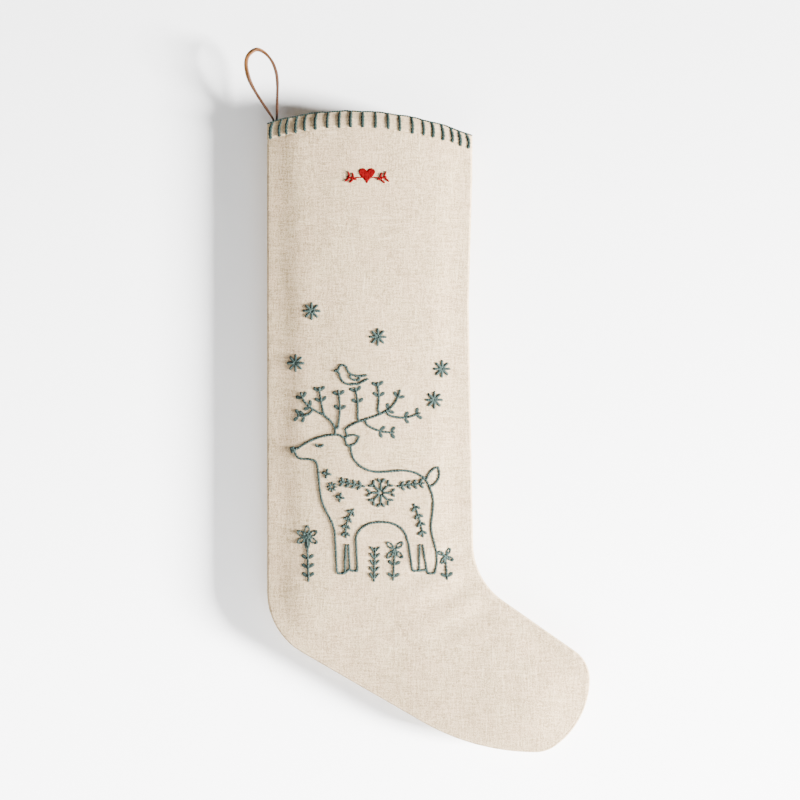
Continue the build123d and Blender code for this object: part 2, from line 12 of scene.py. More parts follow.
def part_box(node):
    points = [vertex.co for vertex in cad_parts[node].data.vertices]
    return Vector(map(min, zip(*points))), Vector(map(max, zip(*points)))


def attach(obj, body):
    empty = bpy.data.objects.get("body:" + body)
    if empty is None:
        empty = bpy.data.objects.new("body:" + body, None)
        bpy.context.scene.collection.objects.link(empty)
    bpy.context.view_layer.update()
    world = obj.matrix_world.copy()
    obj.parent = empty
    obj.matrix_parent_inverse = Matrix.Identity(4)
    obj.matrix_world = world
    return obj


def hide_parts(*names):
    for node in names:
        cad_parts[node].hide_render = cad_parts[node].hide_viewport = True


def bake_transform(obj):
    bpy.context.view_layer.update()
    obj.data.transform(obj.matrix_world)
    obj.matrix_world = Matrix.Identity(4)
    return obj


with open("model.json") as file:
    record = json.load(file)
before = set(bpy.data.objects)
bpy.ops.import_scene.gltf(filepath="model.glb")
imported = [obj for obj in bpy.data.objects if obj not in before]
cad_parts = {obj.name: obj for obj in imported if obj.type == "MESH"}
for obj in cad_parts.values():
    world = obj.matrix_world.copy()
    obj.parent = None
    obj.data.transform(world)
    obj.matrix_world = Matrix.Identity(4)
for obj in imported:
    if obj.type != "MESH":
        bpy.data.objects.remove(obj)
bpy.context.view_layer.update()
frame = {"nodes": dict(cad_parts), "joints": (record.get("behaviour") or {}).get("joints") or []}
MM = 0.001
random.seed(11)

# ---- Places read from the frame ----
BACK_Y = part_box("back_panel")[1].y  # the back's flat, against the wall
PIVOT = np.array(frame["joints"][0]["pos_m"])

# ---- Sizes of the cloth, in metres ----
LINEN = 0.9 * MM
HEM_HEIGHT = 13.8 * MM
LINING = 0.5 * MM
LINING_START = 12.0 * MM  # the lining's top edge, below the rim
LINING_INSET = 9.0 * MM  # the lining's seam, in from the outer seam
LINING_ALLOWANCE = 4.0 * MM
SEAM_SPLIT = 0.12 * MM  # half the groove between the two panels at the seam
ALLOWANCE = 4.6 * MM
ALLOWANCE_TOP = -0.082  # the allowances start below the loop's tails
NARROW_ALLOWANCE = 1.3 * MM  # and are only this wide above that
EDGE_ROLL = 1.9 * MM  # the cloth stands up this far close to the seam
ROLL_WIDTH = 1.9 * MM
CROWN_WIDTH = 80.0 * MM  # and swells gently on towards the middle
FRONT_CROWN = 6.1 * MM
BACK_WIDTH = 40.0 * MM
BACK_CROWN = 8.8 * MM
INNER_START = 1.15 * MM  # the inner face begins this far in from the seam
INNER_STEP = 0.05 * MM  # and each of its next columns at least this much further
THREAD_LAY = 2.6 * MM  # the length of one twist of embroidery thread


# ---- mesh helpers ----


def add_mesh(name, verts, faces, smooth=True):
    mesh = bpy.data.meshes.new(name)
    mesh.from_pydata([tuple(v) for v in verts], [], [tuple(f) for f in faces])
    mesh.update()
    if smooth:
        mesh.polygons.foreach_set("use_smooth", [True] * len(mesh.polygons))
    obj = bpy.data.objects.new(name, mesh)
    bpy.context.scene.collection.objects.link(obj)
    return obj


class Parts:
    """Collects vertices and faces for one mesh made of many small parts."""

    def __init__(self):
        self.verts = []
        self.faces = []
        self.count = 0

    def add(self, verts, faces):
        self.verts.append(np.asarray(verts, float))
        self.faces += [tuple(int(i) + self.count for i in f) for f in faces]
        self.count += len(verts)

    def make(self, name, node):
        """One mesh of all the parts, which rides on the stocking and stands for a CAD node."""
        piece = add_mesh(name, np.concatenate(self.verts), self.faces)
        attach(piece, "stocking")
        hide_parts(node)
        return piece


def unit(v):
    return v / np.maximum(np.linalg.norm(v, axis=-1, keepdims=True), 1e-12)


def smoothstep(t):
    t = np.clip(t, 0.0, 1.0)
    return t * t * (3 - 2 * t)


def grid_faces(rows, columns):
    faces = []
    for j in range(rows - 1):
        for i in range(columns - 1):
            a = j * columns + i
            faces.append((a, a + columns, a + columns + 1, a + 1))
    return faces


def ring_faces(rings, sides):
    """Faces of a tube made of equal rings."""
    faces = []
    for a in range(0, (rings - 1) * sides, sides):
        b = a + sides
        for i in range(sides):
            n = (i + 1) % sides
            faces.append((a + i, b + i, b + n, a + n))
    return faces


def grid_normals(grid):
    """Unit normals of a grid of points, towards the viewer on a flat panel."""
    down = np.gradient(grid, axis=0)
    across = np.gradient(grid, axis=1)
    return unit(np.cross(down, across))


def finer(grid, axis):
    """The grid with a point added halfway between each two along an axis, on a smooth curve."""
    g = np.moveaxis(grid, axis, 0)
    ends = np.concatenate([[2 * g[0] - g[1]], g, [2 * g[-1] - g[-2]]])
    middle = (9 * (ends[1:-2] + ends[2:-1]) - ends[:-3] - ends[3:]) / 16
    out = np.empty((2 * len(g) - 1, *g.shape[1:]))
    out[0::2] = g
    out[1::2] = middle
    return np.moveaxis(out, 0, axis)


def run_of(points):
    """How far along a polyline each of its points lies."""
    return np.concatenate([[0], np.cumsum(np.linalg.norm(np.diff(points, axis=0), axis=1))])


def at_length(points, lengths):
    """Points along a polyline at the given distances from its start."""
    run = run_of(points)
    return np.stack([np.interp(lengths, run, points[:, k]) for k in range(points.shape[1])], -1)


def length_of(points):
    return np.linalg.norm(np.diff(points, axis=0), axis=1).sum()


# ---- the bag's outline, from the frame ----


def seam_chain():
    """The outer edge of the front panel in the seam plane, from the rim's left end to its right end."""
    bm = bmesh.new()
    bm.from_mesh(frame["nodes"]["front_panel"].data)
    bmesh.ops.remove_doubles(bm, verts=bm.verts, dist=1e-6)
    bm.normal_update()
    links = {}
    for edge in bm.edges:
        if max(abs(v.co.y) for v in edge.verts) > 1e-6 or len(edge.link_faces) != 2:
            continue
        if min(f.normal.y for f in edge.link_faces) > -0.3:
            continue
        a, b = (v.index for v in edge.verts)
        links.setdefault(a, []).append(b)
        links.setdefault(b, []).append(a)
    bm.verts.ensure_lookup_table()
    ends = [v for v, others in links.items() if len(others) == 1]
    here = min(ends, key=lambda v: bm.verts[v].co.x)
    chain, before = [here], None
    while True:
        onward = [v for v in links[here] if v != before]
        if not onward:
            break
        before, here = here, onward[0]
        chain.append(here)
    points = np.array([bm.verts[v].co for v in chain])[:, [0, 2]]
    bm.free()
    return points


def rim_curve():
    """The rim's curve: the highest of the front panel's corners along x."""
    co = np.array([v.co for v in frame["nodes"]["front_panel"].data.vertices])
    high = co[co[:, 2] > co[:, 2].max() - 24 * MM]
    xs = np.unique(np.round(high[:, 0], 5))
    zs = np.array([high[np.abs(high[:, 0] - x) < 2e-5][:, 2].max() for x in xs])
    keep = zs > np.interp(xs, [xs[0], xs[-1]], [zs[0], zs[-1]]) - 1e-4
    return xs[keep], zs[keep]


seam = seam_chain()
seam = at_length(seam, np.linspace(0, length_of(seam), 900))
rim_fit = np.polyfit(*rim_curve(), 5)
rim_x = np.linspace(seam[0, 0], seam[-1, 0], 80)
rim_z = np.polyval(rim_fit, rim_x)

# ---- the bag's form ----

ROW_STEP = 4.4 * MM
TOP_STEP = 1.2 * MM
TOP_ROWS = 14
COLUMNS = 40
HEEL_Z = -0.428  # the leg ends here on the heel side
ANKLE_Z = -0.389  # and here on the toe side

tip = int(np.argmax(seam[:, 0]))
left_side = seam[: tip + 1]
right_side = seam[tip:][::-1]


def run_at(side, z):
    """How far along a side, from the rim, its leg reaches the height z."""
    return length_of(side[: int(np.argmax(side[:, 1] < z)) + 1])


heel_run = run_at(left_side, HEEL_Z)
ankle_run = run_at(right_side, ANKLE_Z)
top_run = TOP_ROWS * TOP_STEP
leg_count = int((heel_run - top_run) / ROW_STEP)
leg_rows = np.concatenate(
    [LINEN + np.arange(TOP_ROWS) * TOP_STEP, np.linspace(LINEN + top_run, heel_run, leg_count)]
)
foot_left = length_of(left_side) - heel_run
foot_right = length_of(right_side) - ankle_run
foot_steps = 1 - (1 - np.linspace(0, 1, int(foot_left / (1.2 * ROW_STEP))))[1:-1] ** 1.5
left_runs = np.concatenate([leg_rows, heel_run + foot_steps * foot_left])
right_runs = np.concatenate([leg_rows * ankle_run / heel_run, ankle_run + foot_steps * foot_right])
blend_rows = 1 - smoothstep((left_runs - top_run) / (60 * MM))
right_runs = right_runs + blend_rows * (left_runs - right_runs)
left_points = at_length(left_side, left_runs)
right_points = at_length(right_side, right_runs)

share = np.linspace(0, 1, COLUMNS + 1)
across = 0.7 * (1 - np.cos(math.pi * share)) / 2 + 0.3 * share


def ruled(left, right):
    """Rows from left points to right points, arched at the top like the rim."""
    plan = left[:, None, :] * (1 - across[None, :, None]) + right[:, None, :] * across[None, :, None]
    arch = np.interp(plan[0, :, 0], rim_x, rim_z) - LINEN - plan[0, :, 1]
    arch -= arch[0] * (1 - across) + arch[-1] * across
    fade = 1 - smoothstep((left_runs[: len(left)] - 25 * MM) / (120 * MM))
    plan[:, :, 1] += arch[None, :] * fade[:, None]
    return plan


def seam_distance(points):
    """For each point in the plan, its distance to the seam."""
    a, b = seam[:-1], seam[1:]
    ab = b - a
    shape = points.shape[:-1]
    flat_points = points.reshape(-1, 2)
    distances = np.empty(len(flat_points))
    for start in range(0, len(flat_points), 4000):
        p = flat_points[start : start + 4000, None, :]
        t = np.clip(((p - a) * ab).sum(-1) / np.maximum((ab**2).sum(-1), 1e-15), 0, 1)
        away = a + t[..., None] * ab - p
        distances[start : start + 4000] = np.sqrt((away**2).sum(-1).min(1))
    return distances.reshape(shape)


def inward_at(points, side_points, way):
    """The plan direction into the bag at points along one side."""
    tangent = unit(np.gradient(side_points, axis=0))
    nearest = np.linalg.norm(points[:, None] - side_points[None], axis=-1).argmin(1)
    t = tangent[nearest]
    return way * np.stack([-t[:, 1], t[:, 0]], -1)


left_in = inward_at(left_points, left_side, 1)
right_in = inward_at(right_points, right_side, -1)


def crown(distance, height, width):
    """The height of the swelling side at a distance from the seam: a quick roll, then a gentle rise."""
    roll = 1 - np.clip(distance / ROLL_WIDTH, 0, 1)
    rise = 1 - np.clip(distance / width, 0, 1)
    return EDGE_ROLL * np.sqrt(1 - roll**2) + height * (1 - rise**2)


def placed(plan, y):
    """Points of the plan, in space at the depth y."""
    return np.stack([plan[..., 0], np.broadcast_to(y, plan.shape[:-1]), plan[..., 1]], -1)


plan = ruled(left_points, right_points)
distance = seam_distance(plan)
distance[:, [0, -1]] = 0
front = placed(plan, -SEAM_SPLIT - crown(distance, FRONT_CROWN, CROWN_WIDTH))
back = placed(plan, SEAM_SPLIT + crown(distance, BACK_CROWN, BACK_WIDTH))


def cloth_pass(front, back):
    """Fills the sewn bag a little, held at its seam and rim, and gives both sides' new places."""
    rows, columns = front.shape[:2]
    verts = np.concatenate([front.reshape(-1, 3), back[:, 1:-1].reshape(-1, 3)])
    index = np.arange(rows * columns).reshape(rows, columns)
    index[:, 1:-1] = rows * columns + np.arange(rows * (columns - 2)).reshape(rows, columns - 2)
    faces = grid_faces(rows, columns)
    for j in range(rows - 1):
        for i in range(columns - 1):
            faces.append((index[j, i], index[j, i + 1], index[j + 1, i + 1], index[j + 1, i]))
    obj = add_mesh("bag_trial", verts, faces)
    held = np.zeros((rows, columns))
    held[:, [0, -1]] = 1
    held[-2:] = 1
    held[:2] = 1
    weights = np.concatenate([held.reshape(-1), held[:, 1:-1].reshape(-1)])
    group = obj.vertex_groups.new(name="held")
    group.add([int(i) for i in np.flatnonzero(weights)], 1.0, "REPLACE")
    cloth = obj.modifiers.new("cloth", "CLOTH")
    settings = cloth.settings
    settings.quality = 5
    settings.mass = 0.05
    settings.tension_stiffness = 12
    settings.compression_stiffness = 12
    settings.shear_stiffness = 4
    settings.bending_stiffness = 0.4
    settings.shrink_min = -0.008
    settings.use_pressure = True
    settings.uniform_pressure_force = 12
    settings.vertex_group_mass = "held"
    settings.effector_weights.gravity = 0.2
    cloth.collision_settings.use_collision = False
    for step in range(1, 21):
        bpy.context.scene.frame_set(step)
    evaluated = obj.evaluated_get(bpy.context.evaluated_depsgraph_get())
    moved = np.array([v.co for v in evaluated.data.vertices])
    bpy.context.scene.frame_set(1)
    mesh = obj.data
    bpy.data.objects.remove(obj)
    bpy.data.meshes.remove(mesh)
    new_front = moved[: rows * columns].reshape(rows, columns, 3)
    new_back = back.copy()
    new_back[:, 1:-1] = moved[rows * columns :].reshape(rows, columns - 2, 3)
    return new_front, new_back


def eased(new, old, most):
    """Moves from old towards new, never further than most, and not at all at the seam."""
    step = new - old
    for _ in range(5):
        step[1:-1] = (step[:-2] + 2 * step[1:-1] + step[2:]) / 4
        step[:, 1:-1] = (step[:, :-2] + 2 * step[:, 1:-1] + step[:, 2:]) / 4
    step *= smoothstep(distance / (50 * MM))[..., None]
    size = np.linalg.norm(step, axis=-1, keepdims=True)
    return old + step * most * np.tanh(size / most) / np.maximum(size, 1e-9)


sim_front, sim_back = cloth_pass(front, back)
front = eased(sim_front, front, 1.5 * MM)
back = eased(sim_back, back, 1.2 * MM)

front = finer(finer(finer(front, 0), 1), 1)
back = finer(finer(finer(back, 0), 1), 1)
runs = finer(left_runs, 0)
rows, columns = front.shape[:2]
plan = front[..., [0, 2]]
distance = seam_distance(plan)
distance[:, [0, -1]] = 0


def undulation(scale_x, scale_z, seed):
    """Smooth seeded unevenness over the panel, between -1 and 1."""
    out = np.empty((rows, columns))
    for j in range(rows):
        for i in range(columns):
            x, z = plan[j, i]
            out[j, i] = noise.noise(Vector((x / scale_x, seed, z / scale_z)))
    return out


def bump_at(value, centre, width):
    """A soft bump, 1 at its centre."""
    return np.exp(-(((value - centre) / width) ** 2))


PUCKER = 0.16 * MM  # the seam's gathering
SEAM_ROLL = 0.12 * MM
HEM_RISE = 0.16 * MM
HEM_LINE = 13.1 * MM  # the topstitching, below the rim
HEM_GROOVE = 0.22 * MM
ANKLE = (0.158, -0.418)
ANKLE_FOLD = 0.65 * MM

edge_mask = smoothstep(distance / (22 * MM))
mouth_mask = smoothstep(runs / (30 * MM))[:, None]
ripple = np.sin(runs / (3.1 * MM)) + 0.6 * np.sin(runs / (4.7 * MM) + 1.0)
pucker = PUCKER * ripple[:, None] * np.exp(-distance / (4 * MM)) * smoothstep(distance / (1.5 * MM))
seam_roll = SEAM_ROLL * (bump_at(distance, 1.0 * MM, 0.5 * MM) - bump_at(distance, 2.2 * MM, 0.8 * MM))
hem_band = HEM_RISE * (1 - smoothstep((runs - HEM_LINE + 0.5 * MM) / MM))[:, None]
sewing = pucker + seam_roll + hem_band - HEM_GROOVE * bump_at(runs, HEM_LINE, 0.8 * MM)[:, None]
ankle_spot = bump_at(np.hypot(plan[..., 0] - ANKLE[0], plan[..., 1] - ANKLE[1]), 0, 42 * MM)
ankle_folds = ANKLE_FOLD * ankle_spot * np.sin((0.55 * plan[..., 0] - plan[..., 1]) / (4.6 * MM))
waves = 0.55 * MM * undulation(0.045, 0.110, 3.1) + 0.30 * MM * undulation(0.020, 0.034, 8.7)
relief = (waves * mouth_mask + ankle_folds) * edge_mask + sewing
front = front + grid_normals(front) * relief[..., None]
waves = 0.35 * MM * undulation(0.050, 0.090, 5.3)
relief = waves * mouth_mask * edge_mask + sewing
back = back - grid_normals(back) * relief[..., None]
front[:, [0, -1], 1] = -SEAM_SPLIT
back[:, [0, -1], 1] = SEAM_SPLIT
back[..., 1] = np.minimum(back[..., 1], BACK_Y - 0.1 * MM)

left_in = unit(finer(left_in, 0))
right_in = unit(finer(right_in, 0))


def across_thickness(outer, side, thickness):
    """The cloth's other face, kept off the seam plane so that the allowances fit between."""
    normals = grid_normals(outer) * (1 if side < 0 else -1)
    inner = outer - normals * thickness[:, None, None]
    floor = side * (SEAM_SPLIT + LINEN)
    inner[..., 1] = np.minimum(inner[..., 1], floor) if side < 0 else np.maximum(inner[..., 1], floor)
    return inner


def on_plan(edge, inward, inset, y):
    """Points set in from a seam edge, at the depth y."""
    return placed(edge[:, [0, 2]] + inward * np.asarray(inset).reshape(-1, 1), y)


def folded_rim(outer, inner, steps=6):
    """Rows that carry the outer face over the rim to the inner face in a half round."""
    middle, half = (outer[0] + inner[0]) / 2, (outer[0] - inner[0]) / 2
    up = unit(outer[0] - outer[1])
    size = np.linalg.norm(half, axis=-1, keepdims=True)
    turns = [math.pi * k / steps for k in range(1, steps)]
    return np.stack([middle + half * math.cos(t) + up * size * math.sin(t) for t in turns])


def panel_mesh(name, outer, side):
    """One linen panel as a closed skin: outer face, folded hem, inner face and seam allowances."""
    hem = 1 - smoothstep((runs - HEM_HEIGHT) / (0.8 * MM))
    inner = across_thickness(outer, side, LINEN * (1 + hem))
    widening = smoothstep((ALLOWANCE_TOP - outer[:, 0, 2]) / (6 * MM))
    reach = NARROW_ALLOWANCE + (ALLOWANCE - NARROW_ALLOWANCE) * widening
    low, high = side * SEAM_SPLIT, side * (SEAM_SPLIT + LINEN)
    inner[:, 0] = on_plan(outer[:, 0], left_in, INNER_START, high)
    inner[:, -1] = on_plan(outer[:, -1], right_in, INNER_START, high)
    for k in range(1, 10):
        least = INNER_START + INNER_STEP * k
        for column, edge, way in ((k, 0, left_in), (-1 - k, -1, right_in)):
            limit = on_plan(outer[:, edge], way, least, high)
            depth = ((inner[:, column] - outer[:, edge])[:, [0, 2]] * way).sum(-1)
            short = depth < least
            inner[short, column, 0] = limit[short, 0]
            inner[short, column, 2] = limit[short, 2]
    left = [on_plan(outer[:, 0], left_in, reach, high), on_plan(outer[:, 0], left_in, reach, low)]
    right = [on_plan(outer[:, -1], right_in, reach, low), on_plan(outer[:, -1], right_in, reach, high)]
    loop = [outer[:, i] for i in range(columns)] + right
    loop += [inner[:, i] for i in range(columns - 1, -1, -1)] + left
    loop = np.stack(loop, 1)
    around = loop.shape[1]
    faces = ring_faces(rows, around)
    inner_at = [around - 3 - i for i in range(columns)]
    last = (rows - 1) * around
    for i in range(columns - 1):
        faces.append((last + i, last + inner_at[i], last + inner_at[i + 1], last + i + 1))
    faces.append((last, last + around - 1, last + around - 2, last + inner_at[0]))
    right_end = columns - 1
    faces.append((last + right_end, last + inner_at[-1], last + right_end + 2, last + right_end + 1))
    fold = folded_rim(outer, inner)
    start = rows * around
    bands = [list(range(columns))]
    bands += [list(range(start + k * columns, start + (k + 1) * columns)) for k in range(len(fold))]
    bands += [inner_at]
    for upper, lower in zip(bands[1:], bands[:-1]):
        for i in range(columns - 1):
            faces.append((lower[i], lower[i + 1], upper[i + 1], upper[i]))
    faces.append(tuple([band[0] for band in bands] + [around - 2, around - 1]))
    faces.append(tuple([band[-1] for band in bands][::-1] + [right_end + 1, right_end + 2]))
    verts = np.concatenate([loop.reshape(-1, 3), fold.reshape(-1, 3)])
    if side > 0:
        faces = [f[::-1] for f in faces]
    return add_mesh(name, verts, faces), inner, fold


front_piece, front_inner, front_fold = panel_mesh("linen_front", front, -1)
back_piece, back_inner, back_fold = panel_mesh("linen_back", back, 1)


def surface_tree(grid):
    faces = grid_faces(*grid.shape[:2])
    return BVHTree.FromPolygons([Vector(p) for p in grid.reshape(-1, 3)], faces)


trees = {-1: surface_tree(front), 1: surface_tree(back)}
inner_trees = {-1: surface_tree(front_inner), 1: surface_tree(back_inner)}


def drop_on(tree, side, x, z):
    """The place and outward normal where a line across the bag meets a surface."""
    hit, normal, _, _ = tree.ray_cast(Vector((x, side * 0.2, z)), Vector((0, -side, 0)))
    if hit is None:
        hit, normal, _, _ = tree.find_nearest(Vector((x, side * 0.01, z)))
    if normal.y * side < 0:
        normal = -normal
    return np.array(hit), np.array(normal)


# ---- linings ----


def lining_mesh(name, side):
    """A thin cotton bag half inside the linen, its seam set in and its top edge over the hem's end."""
    first = int(np.argmax(left_runs > LINING_START))
    left = left_points + unit(left_in[::2]) * LINING_INSET
    right = right_points + unit(right_in[::2]) * LINING_INSET
    width = ((right - left) * unit(right_points - left_points)).sum(-1)
    last = int(np.argmax(width < 12 * MM)) or len(left)
    inside = ruled(left, right)[first:last]
    cut_left = left_points + unit(left_in[::2]) * (LINING_INSET - LINING_ALLOWANCE)
    cut_right = right_points + unit(right_in[::2]) * (LINING_INSET - LINING_ALLOWANCE)
    bottom = ruled(cut_left, cut_right)[first:last]
    depth = seam_distance(inside) - LINING_INSET
    swell = (1 - (1 - np.clip(depth / (12 * MM), 0, 1)) ** 2) ** 0.5
    count, wide = inside.shape[:2]
    outer = np.empty((count, wide, 3))
    for j in range(count):
        below_hem = smoothstep((left_runs[first + j] - HEM_HEIGHT - 0.8 * MM) / (3 * MM))
        gap = (0.12 + 0.5 * below_hem) * MM
        for i in range(wide):
            x, z = inside[j, i]
            hit, _ = drop_on(inner_trees[side], side, x, z)
            height = max((abs(hit[1]) - gap) * swell[j, i], SEAM_SPLIT + LINING)
            outer[j, i] = (x, side * height, z)
    inner = outer - grid_normals(outer) * (LINING if side < 0 else -LINING)
    inner[:, [0, -1], 1] = side * SEAM_SPLIT
    left_low, right_low = (placed(bottom[:, end], side * SEAM_SPLIT) for end in (0, -1))
    rise = np.array([0, side * LINING, 0])
    loop = [outer[:, i] for i in range(wide)] + [right_low + rise, right_low]
    loop += [inner[:, i] for i in range(wide - 1, -1, -1)] + [left_low, left_low + rise]
    loop = np.stack(loop, 1)
    around = loop.shape[1]
    faces = ring_faces(count, around)
    inner_at = [around - 3 - i for i in range(wide)]
    for row, flip in ((0, 1), (count - 1, -1)):
        o = row * around
        caps = [(o + i, o + i + 1, o + inner_at[i + 1], o + inner_at[i]) for i in range(wide - 1)]
        caps.append((o, o + inner_at[0], o + around - 2, o + around - 1))
        caps.append((o + wide - 1, o + wide, o + wide + 1, o + inner_at[-1]))
        faces += [c[::flip] for c in caps]
    if side > 0:
        faces = [f[::-1] for f in faces]
    return add_mesh(name, loop.reshape(-1, 3), faces)


front_lining = lining_mesh("cotton_lining_front", -1)
back_lining = lining_mesh("cotton_lining_back", 1)


# ---- threads ----


def strand_frames(points, normals):
    tangent = unit(np.gradient(points, axis=0))
    normal = unit(normals - tangent * (normals * tangent).sum(-1, keepdims=True))
    return tangent, normal, np.cross(tangent, normal)


def tube(points, normals, radii, sides=6, flatten=1.0):
    """A closed tube along points; flatten is its height over its width."""
    _, normal, side = strand_frames(points, normals)
    n = len(points)
    radii = np.broadcast_to(radii, (n,))
    turn = np.arange(sides) * 2 * math.pi / sides
    wide, tall = np.cos(turn)[None, :, None], flatten * np.sin(turn)[None, :, None]
    ring = wide * side[:, None] + tall * normal[:, None]
    verts = (points[:, None] + radii[:, None, None] * ring).reshape(-1, 3)
    faces = ring_faces(n, sides)
    faces.append(tuple(range(sides)))
    faces.append(tuple(range(n * sides - 1, (n - 1) * sides - 1, -1)))
    return verts, faces


def plied(parts, points, normals, radii, lay, plies=2, sides=6, start=0.0, flatten=0.9):
    """A twisted thread: plies wound round the path, each a tube of its own."""
    points, normals = np.array(points), np.array(normals)
    _, normal, side = strand_frames(points, normals)
    radii = np.broadcast_to(radii, (len(points),))
    run = run_of(points)
    for ply in range(plies):
        turn = start + 2 * math.pi * (run / lay + ply / plies)
        offset = np.cos(turn)[:, None] * side + flatten * np.sin(turn)[:, None] * normal
        centre = points + offset * (0.46 * radii)[:, None]
        parts.add(*tube(centre, normals, 0.62 * radii, sides, flatten))


def loose_parts(node):
    """The corner points of each separate stitch in a CAD node."""
    mesh = frame["nodes"][node].data
    co = np.array([v.co for v in mesh.vertices])
    keys, index = np.unique(np.round(co / 2e-6).astype(np.int64), axis=0, return_inverse=True)
    index = index.reshape(-1)
    parent = list(range(len(keys)))

    def root(i):
        while parent[i] != i:
            parent[i] = parent[parent[i]]
            i = parent[i]
        return i

    for poly in mesh.polygons:
        corners = [root(int(index[v])) for v in poly.vertices]
        for other in corners[1:]:
            parent[root(other)] = root(corners[0])
    groups = {}
    for i, key in enumerate(keys):
        groups.setdefault(root(i), []).append(key * 2e-6)
    return [np.array(g) for g in groups.values()]


def stitch_ends(part):
    """A stitch's two ends in the plan and its width at each, the narrower end first."""
    flat = part[:, [0, 2]]
    middle = (flat.min(0) + flat.max(0)) / 2
    _, _, axes = np.linalg.svd(flat - flat.mean(0), full_matrices=False)
    s, w = (flat - middle) @ axes[0], (flat - middle) @ axes[1]
    size = np.ptp(s)
    first, second = s < s.min() + 0.3 * size, s > s.max() - 0.3 * size
    a = middle + axes[0] * s.min() + axes[1] * w[first].mean()
    b = middle + axes[0] * s.max() + axes[1] * w[second].mean()
    wide_a, wide_b = np.ptp(w[first]), np.ptp(w[second])
    return (a, b, wide_a, wide_b) if wide_a <= wide_b else (b, a, wide_b, wide_a)


def laid_stitch(parts, a, b, radius, sink, lift, lay, bow=0.0, count=8):
    """One thread from hole to hole over the front, its ends going down into the cloth."""
    way = b - a
    across_way = np.array([-way[1], way[0]])
    radii = np.broadcast_to(radius, (count,))
    points, normals = [], []
    for t, r in zip(np.linspace(0, 1, count), radii):
        x, z = a + way * t + across_way * bow * math.sin(math.pi * t)
        hit, normal = drop_on(trees[-1], -1, x, z)
        rise = min(1.0, math.sin(math.pi * t) * 2.6)
        points.append(hit + normal * (lift * r * rise - sink * (1 - rise)))
        normals.append(normal)
    start = random.uniform(0, 6.28)
    plied(parts, points, normals, radii, lay, start=start, flatten=0.66)


JOIN_WIDTH = 0.95 * MM


def joining_stitches(found, targets, shortest, longest):
    """Stitches that carry a line on from its last hole to the line it stops short of."""
    joins = []
    starts = np.array([c for c, _, _, _ in found + targets])
    spans = np.array([d for _, d, _, _ in found + targets]) - starts
    for i, (a, b, _, _) in enumerate(found):
        for end, other_end in ((a, b), (b, a)):
            t = np.clip(((end - starts) * spans).sum(-1) / (spans**2).sum(-1), 0, 1)
            points = starts + spans * t[:, None]
            gaps = np.linalg.norm(points - end, axis=-1)
            forward = ((points - end) * unit(end - other_end)).sum(-1) > 0.25 * gaps
            forward[i] = False
            if forward.any():
                best = np.flatnonzero(forward)[gaps[forward].argmin()]
                if shortest < gaps[best] < longest:
                    joins.append((end, points[best], JOIN_WIDTH, JOIN_WIDTH))
    kept = []
    for join in joins:
        middle = (join[0] + join[1]) / 2
        if all(np.linalg.norm(middle - (c + d) / 2) > 0.8 * MM for c, d, _, _ in kept):
            kept.append(join)
    return kept


def drawn_in(found, reach, keep):
    """The rays of each star carried in to its middle, where they cross."""
    middles = np.array([(a + b) / 2 for a, b, _, _ in found])
    out = []
    for (a, b, wide_a, wide_b), here in zip(found, middles):
        centre = middles[np.linalg.norm(middles - here, axis=-1) < reach].mean(0)
        if np.linalg.norm(b - centre) < np.linalg.norm(a - centre):
            a, b, wide_a, wide_b = b, a, wide_b, wide_a
        out.append((centre + (b - centre) * keep, b, wide_a, wide_b))
    return out


def embroidery(name, node, join=0.0, onto=(), weight=2.15, fat=1.25 * MM):
    """A motif's threads, laid where the CAD stitches are: single runs, and fans of three for leaves."""
    parts = Parts()
    found = [stitch_ends(part) for part in loose_parts(node)]
    if node == "stars":
        found = drawn_in(found, STAR_REACH, 0.07)
    if node in FLOWER_EYES:
        x, z, count, first = FLOWER_EYES[node]
        eye = np.array([x, z]) * MM
        for k in range(count):
            turn = math.radians(first + 360 * k / count)
            ray = np.array([math.cos(turn), math.sin(turn)])
            found.append((eye, eye + ray * PETAL_ROOT, 0.75 * MM, 0.75 * MM))
    targets = [stitch_ends(part) for other in onto for part in loose_parts(other)]
    if join:
        found += joining_stitches([f for f in found if f[3] <= fat], targets, 0.9 * MM, join)
    for a, b, wide_a, wide_b in found:
        length = np.linalg.norm(b - a)
        if wide_b > fat:
            way = (b - a) / length
            across_way = np.array([-way[1], way[0]])
            for k in (-1, 1, 0):
                root = a + across_way * k * wide_a * 0.18 - way * 0.45 * MM
                end = b + across_way * k * wide_b * 0.44 + way * (0.80 if k == 0 else 0.30) * MM
                radius = np.linspace(0.38, 0.60, 8) * MM * (1.08 if k == 0 else 1)
                lift = 0.5 if k == 0 else 0.3
                laid_stitch(parts, root, end, radius, 0.3 * MM, lift, 2.4 * MM, 0.10 * k)
        else:
            radius = 0.5 * weight * min(max(wide_a, wide_b), 1.1 * MM) * random.uniform(0.92, 1.08)
            jitter = random.uniform(-0.02, 0.02)
            count = max(8, int(length / (0.42 * MM)))
            way = (b - a) / length * 0.14 * MM
            a, b = a - way, b + way
            laid_stitch(parts, a, b, radius, 0.45 * MM, 0.36, THREAD_LAY, jitter, count)
    return parts.make(name, node)


HEART_HALF = 6.2 * MM  # half the heart's width


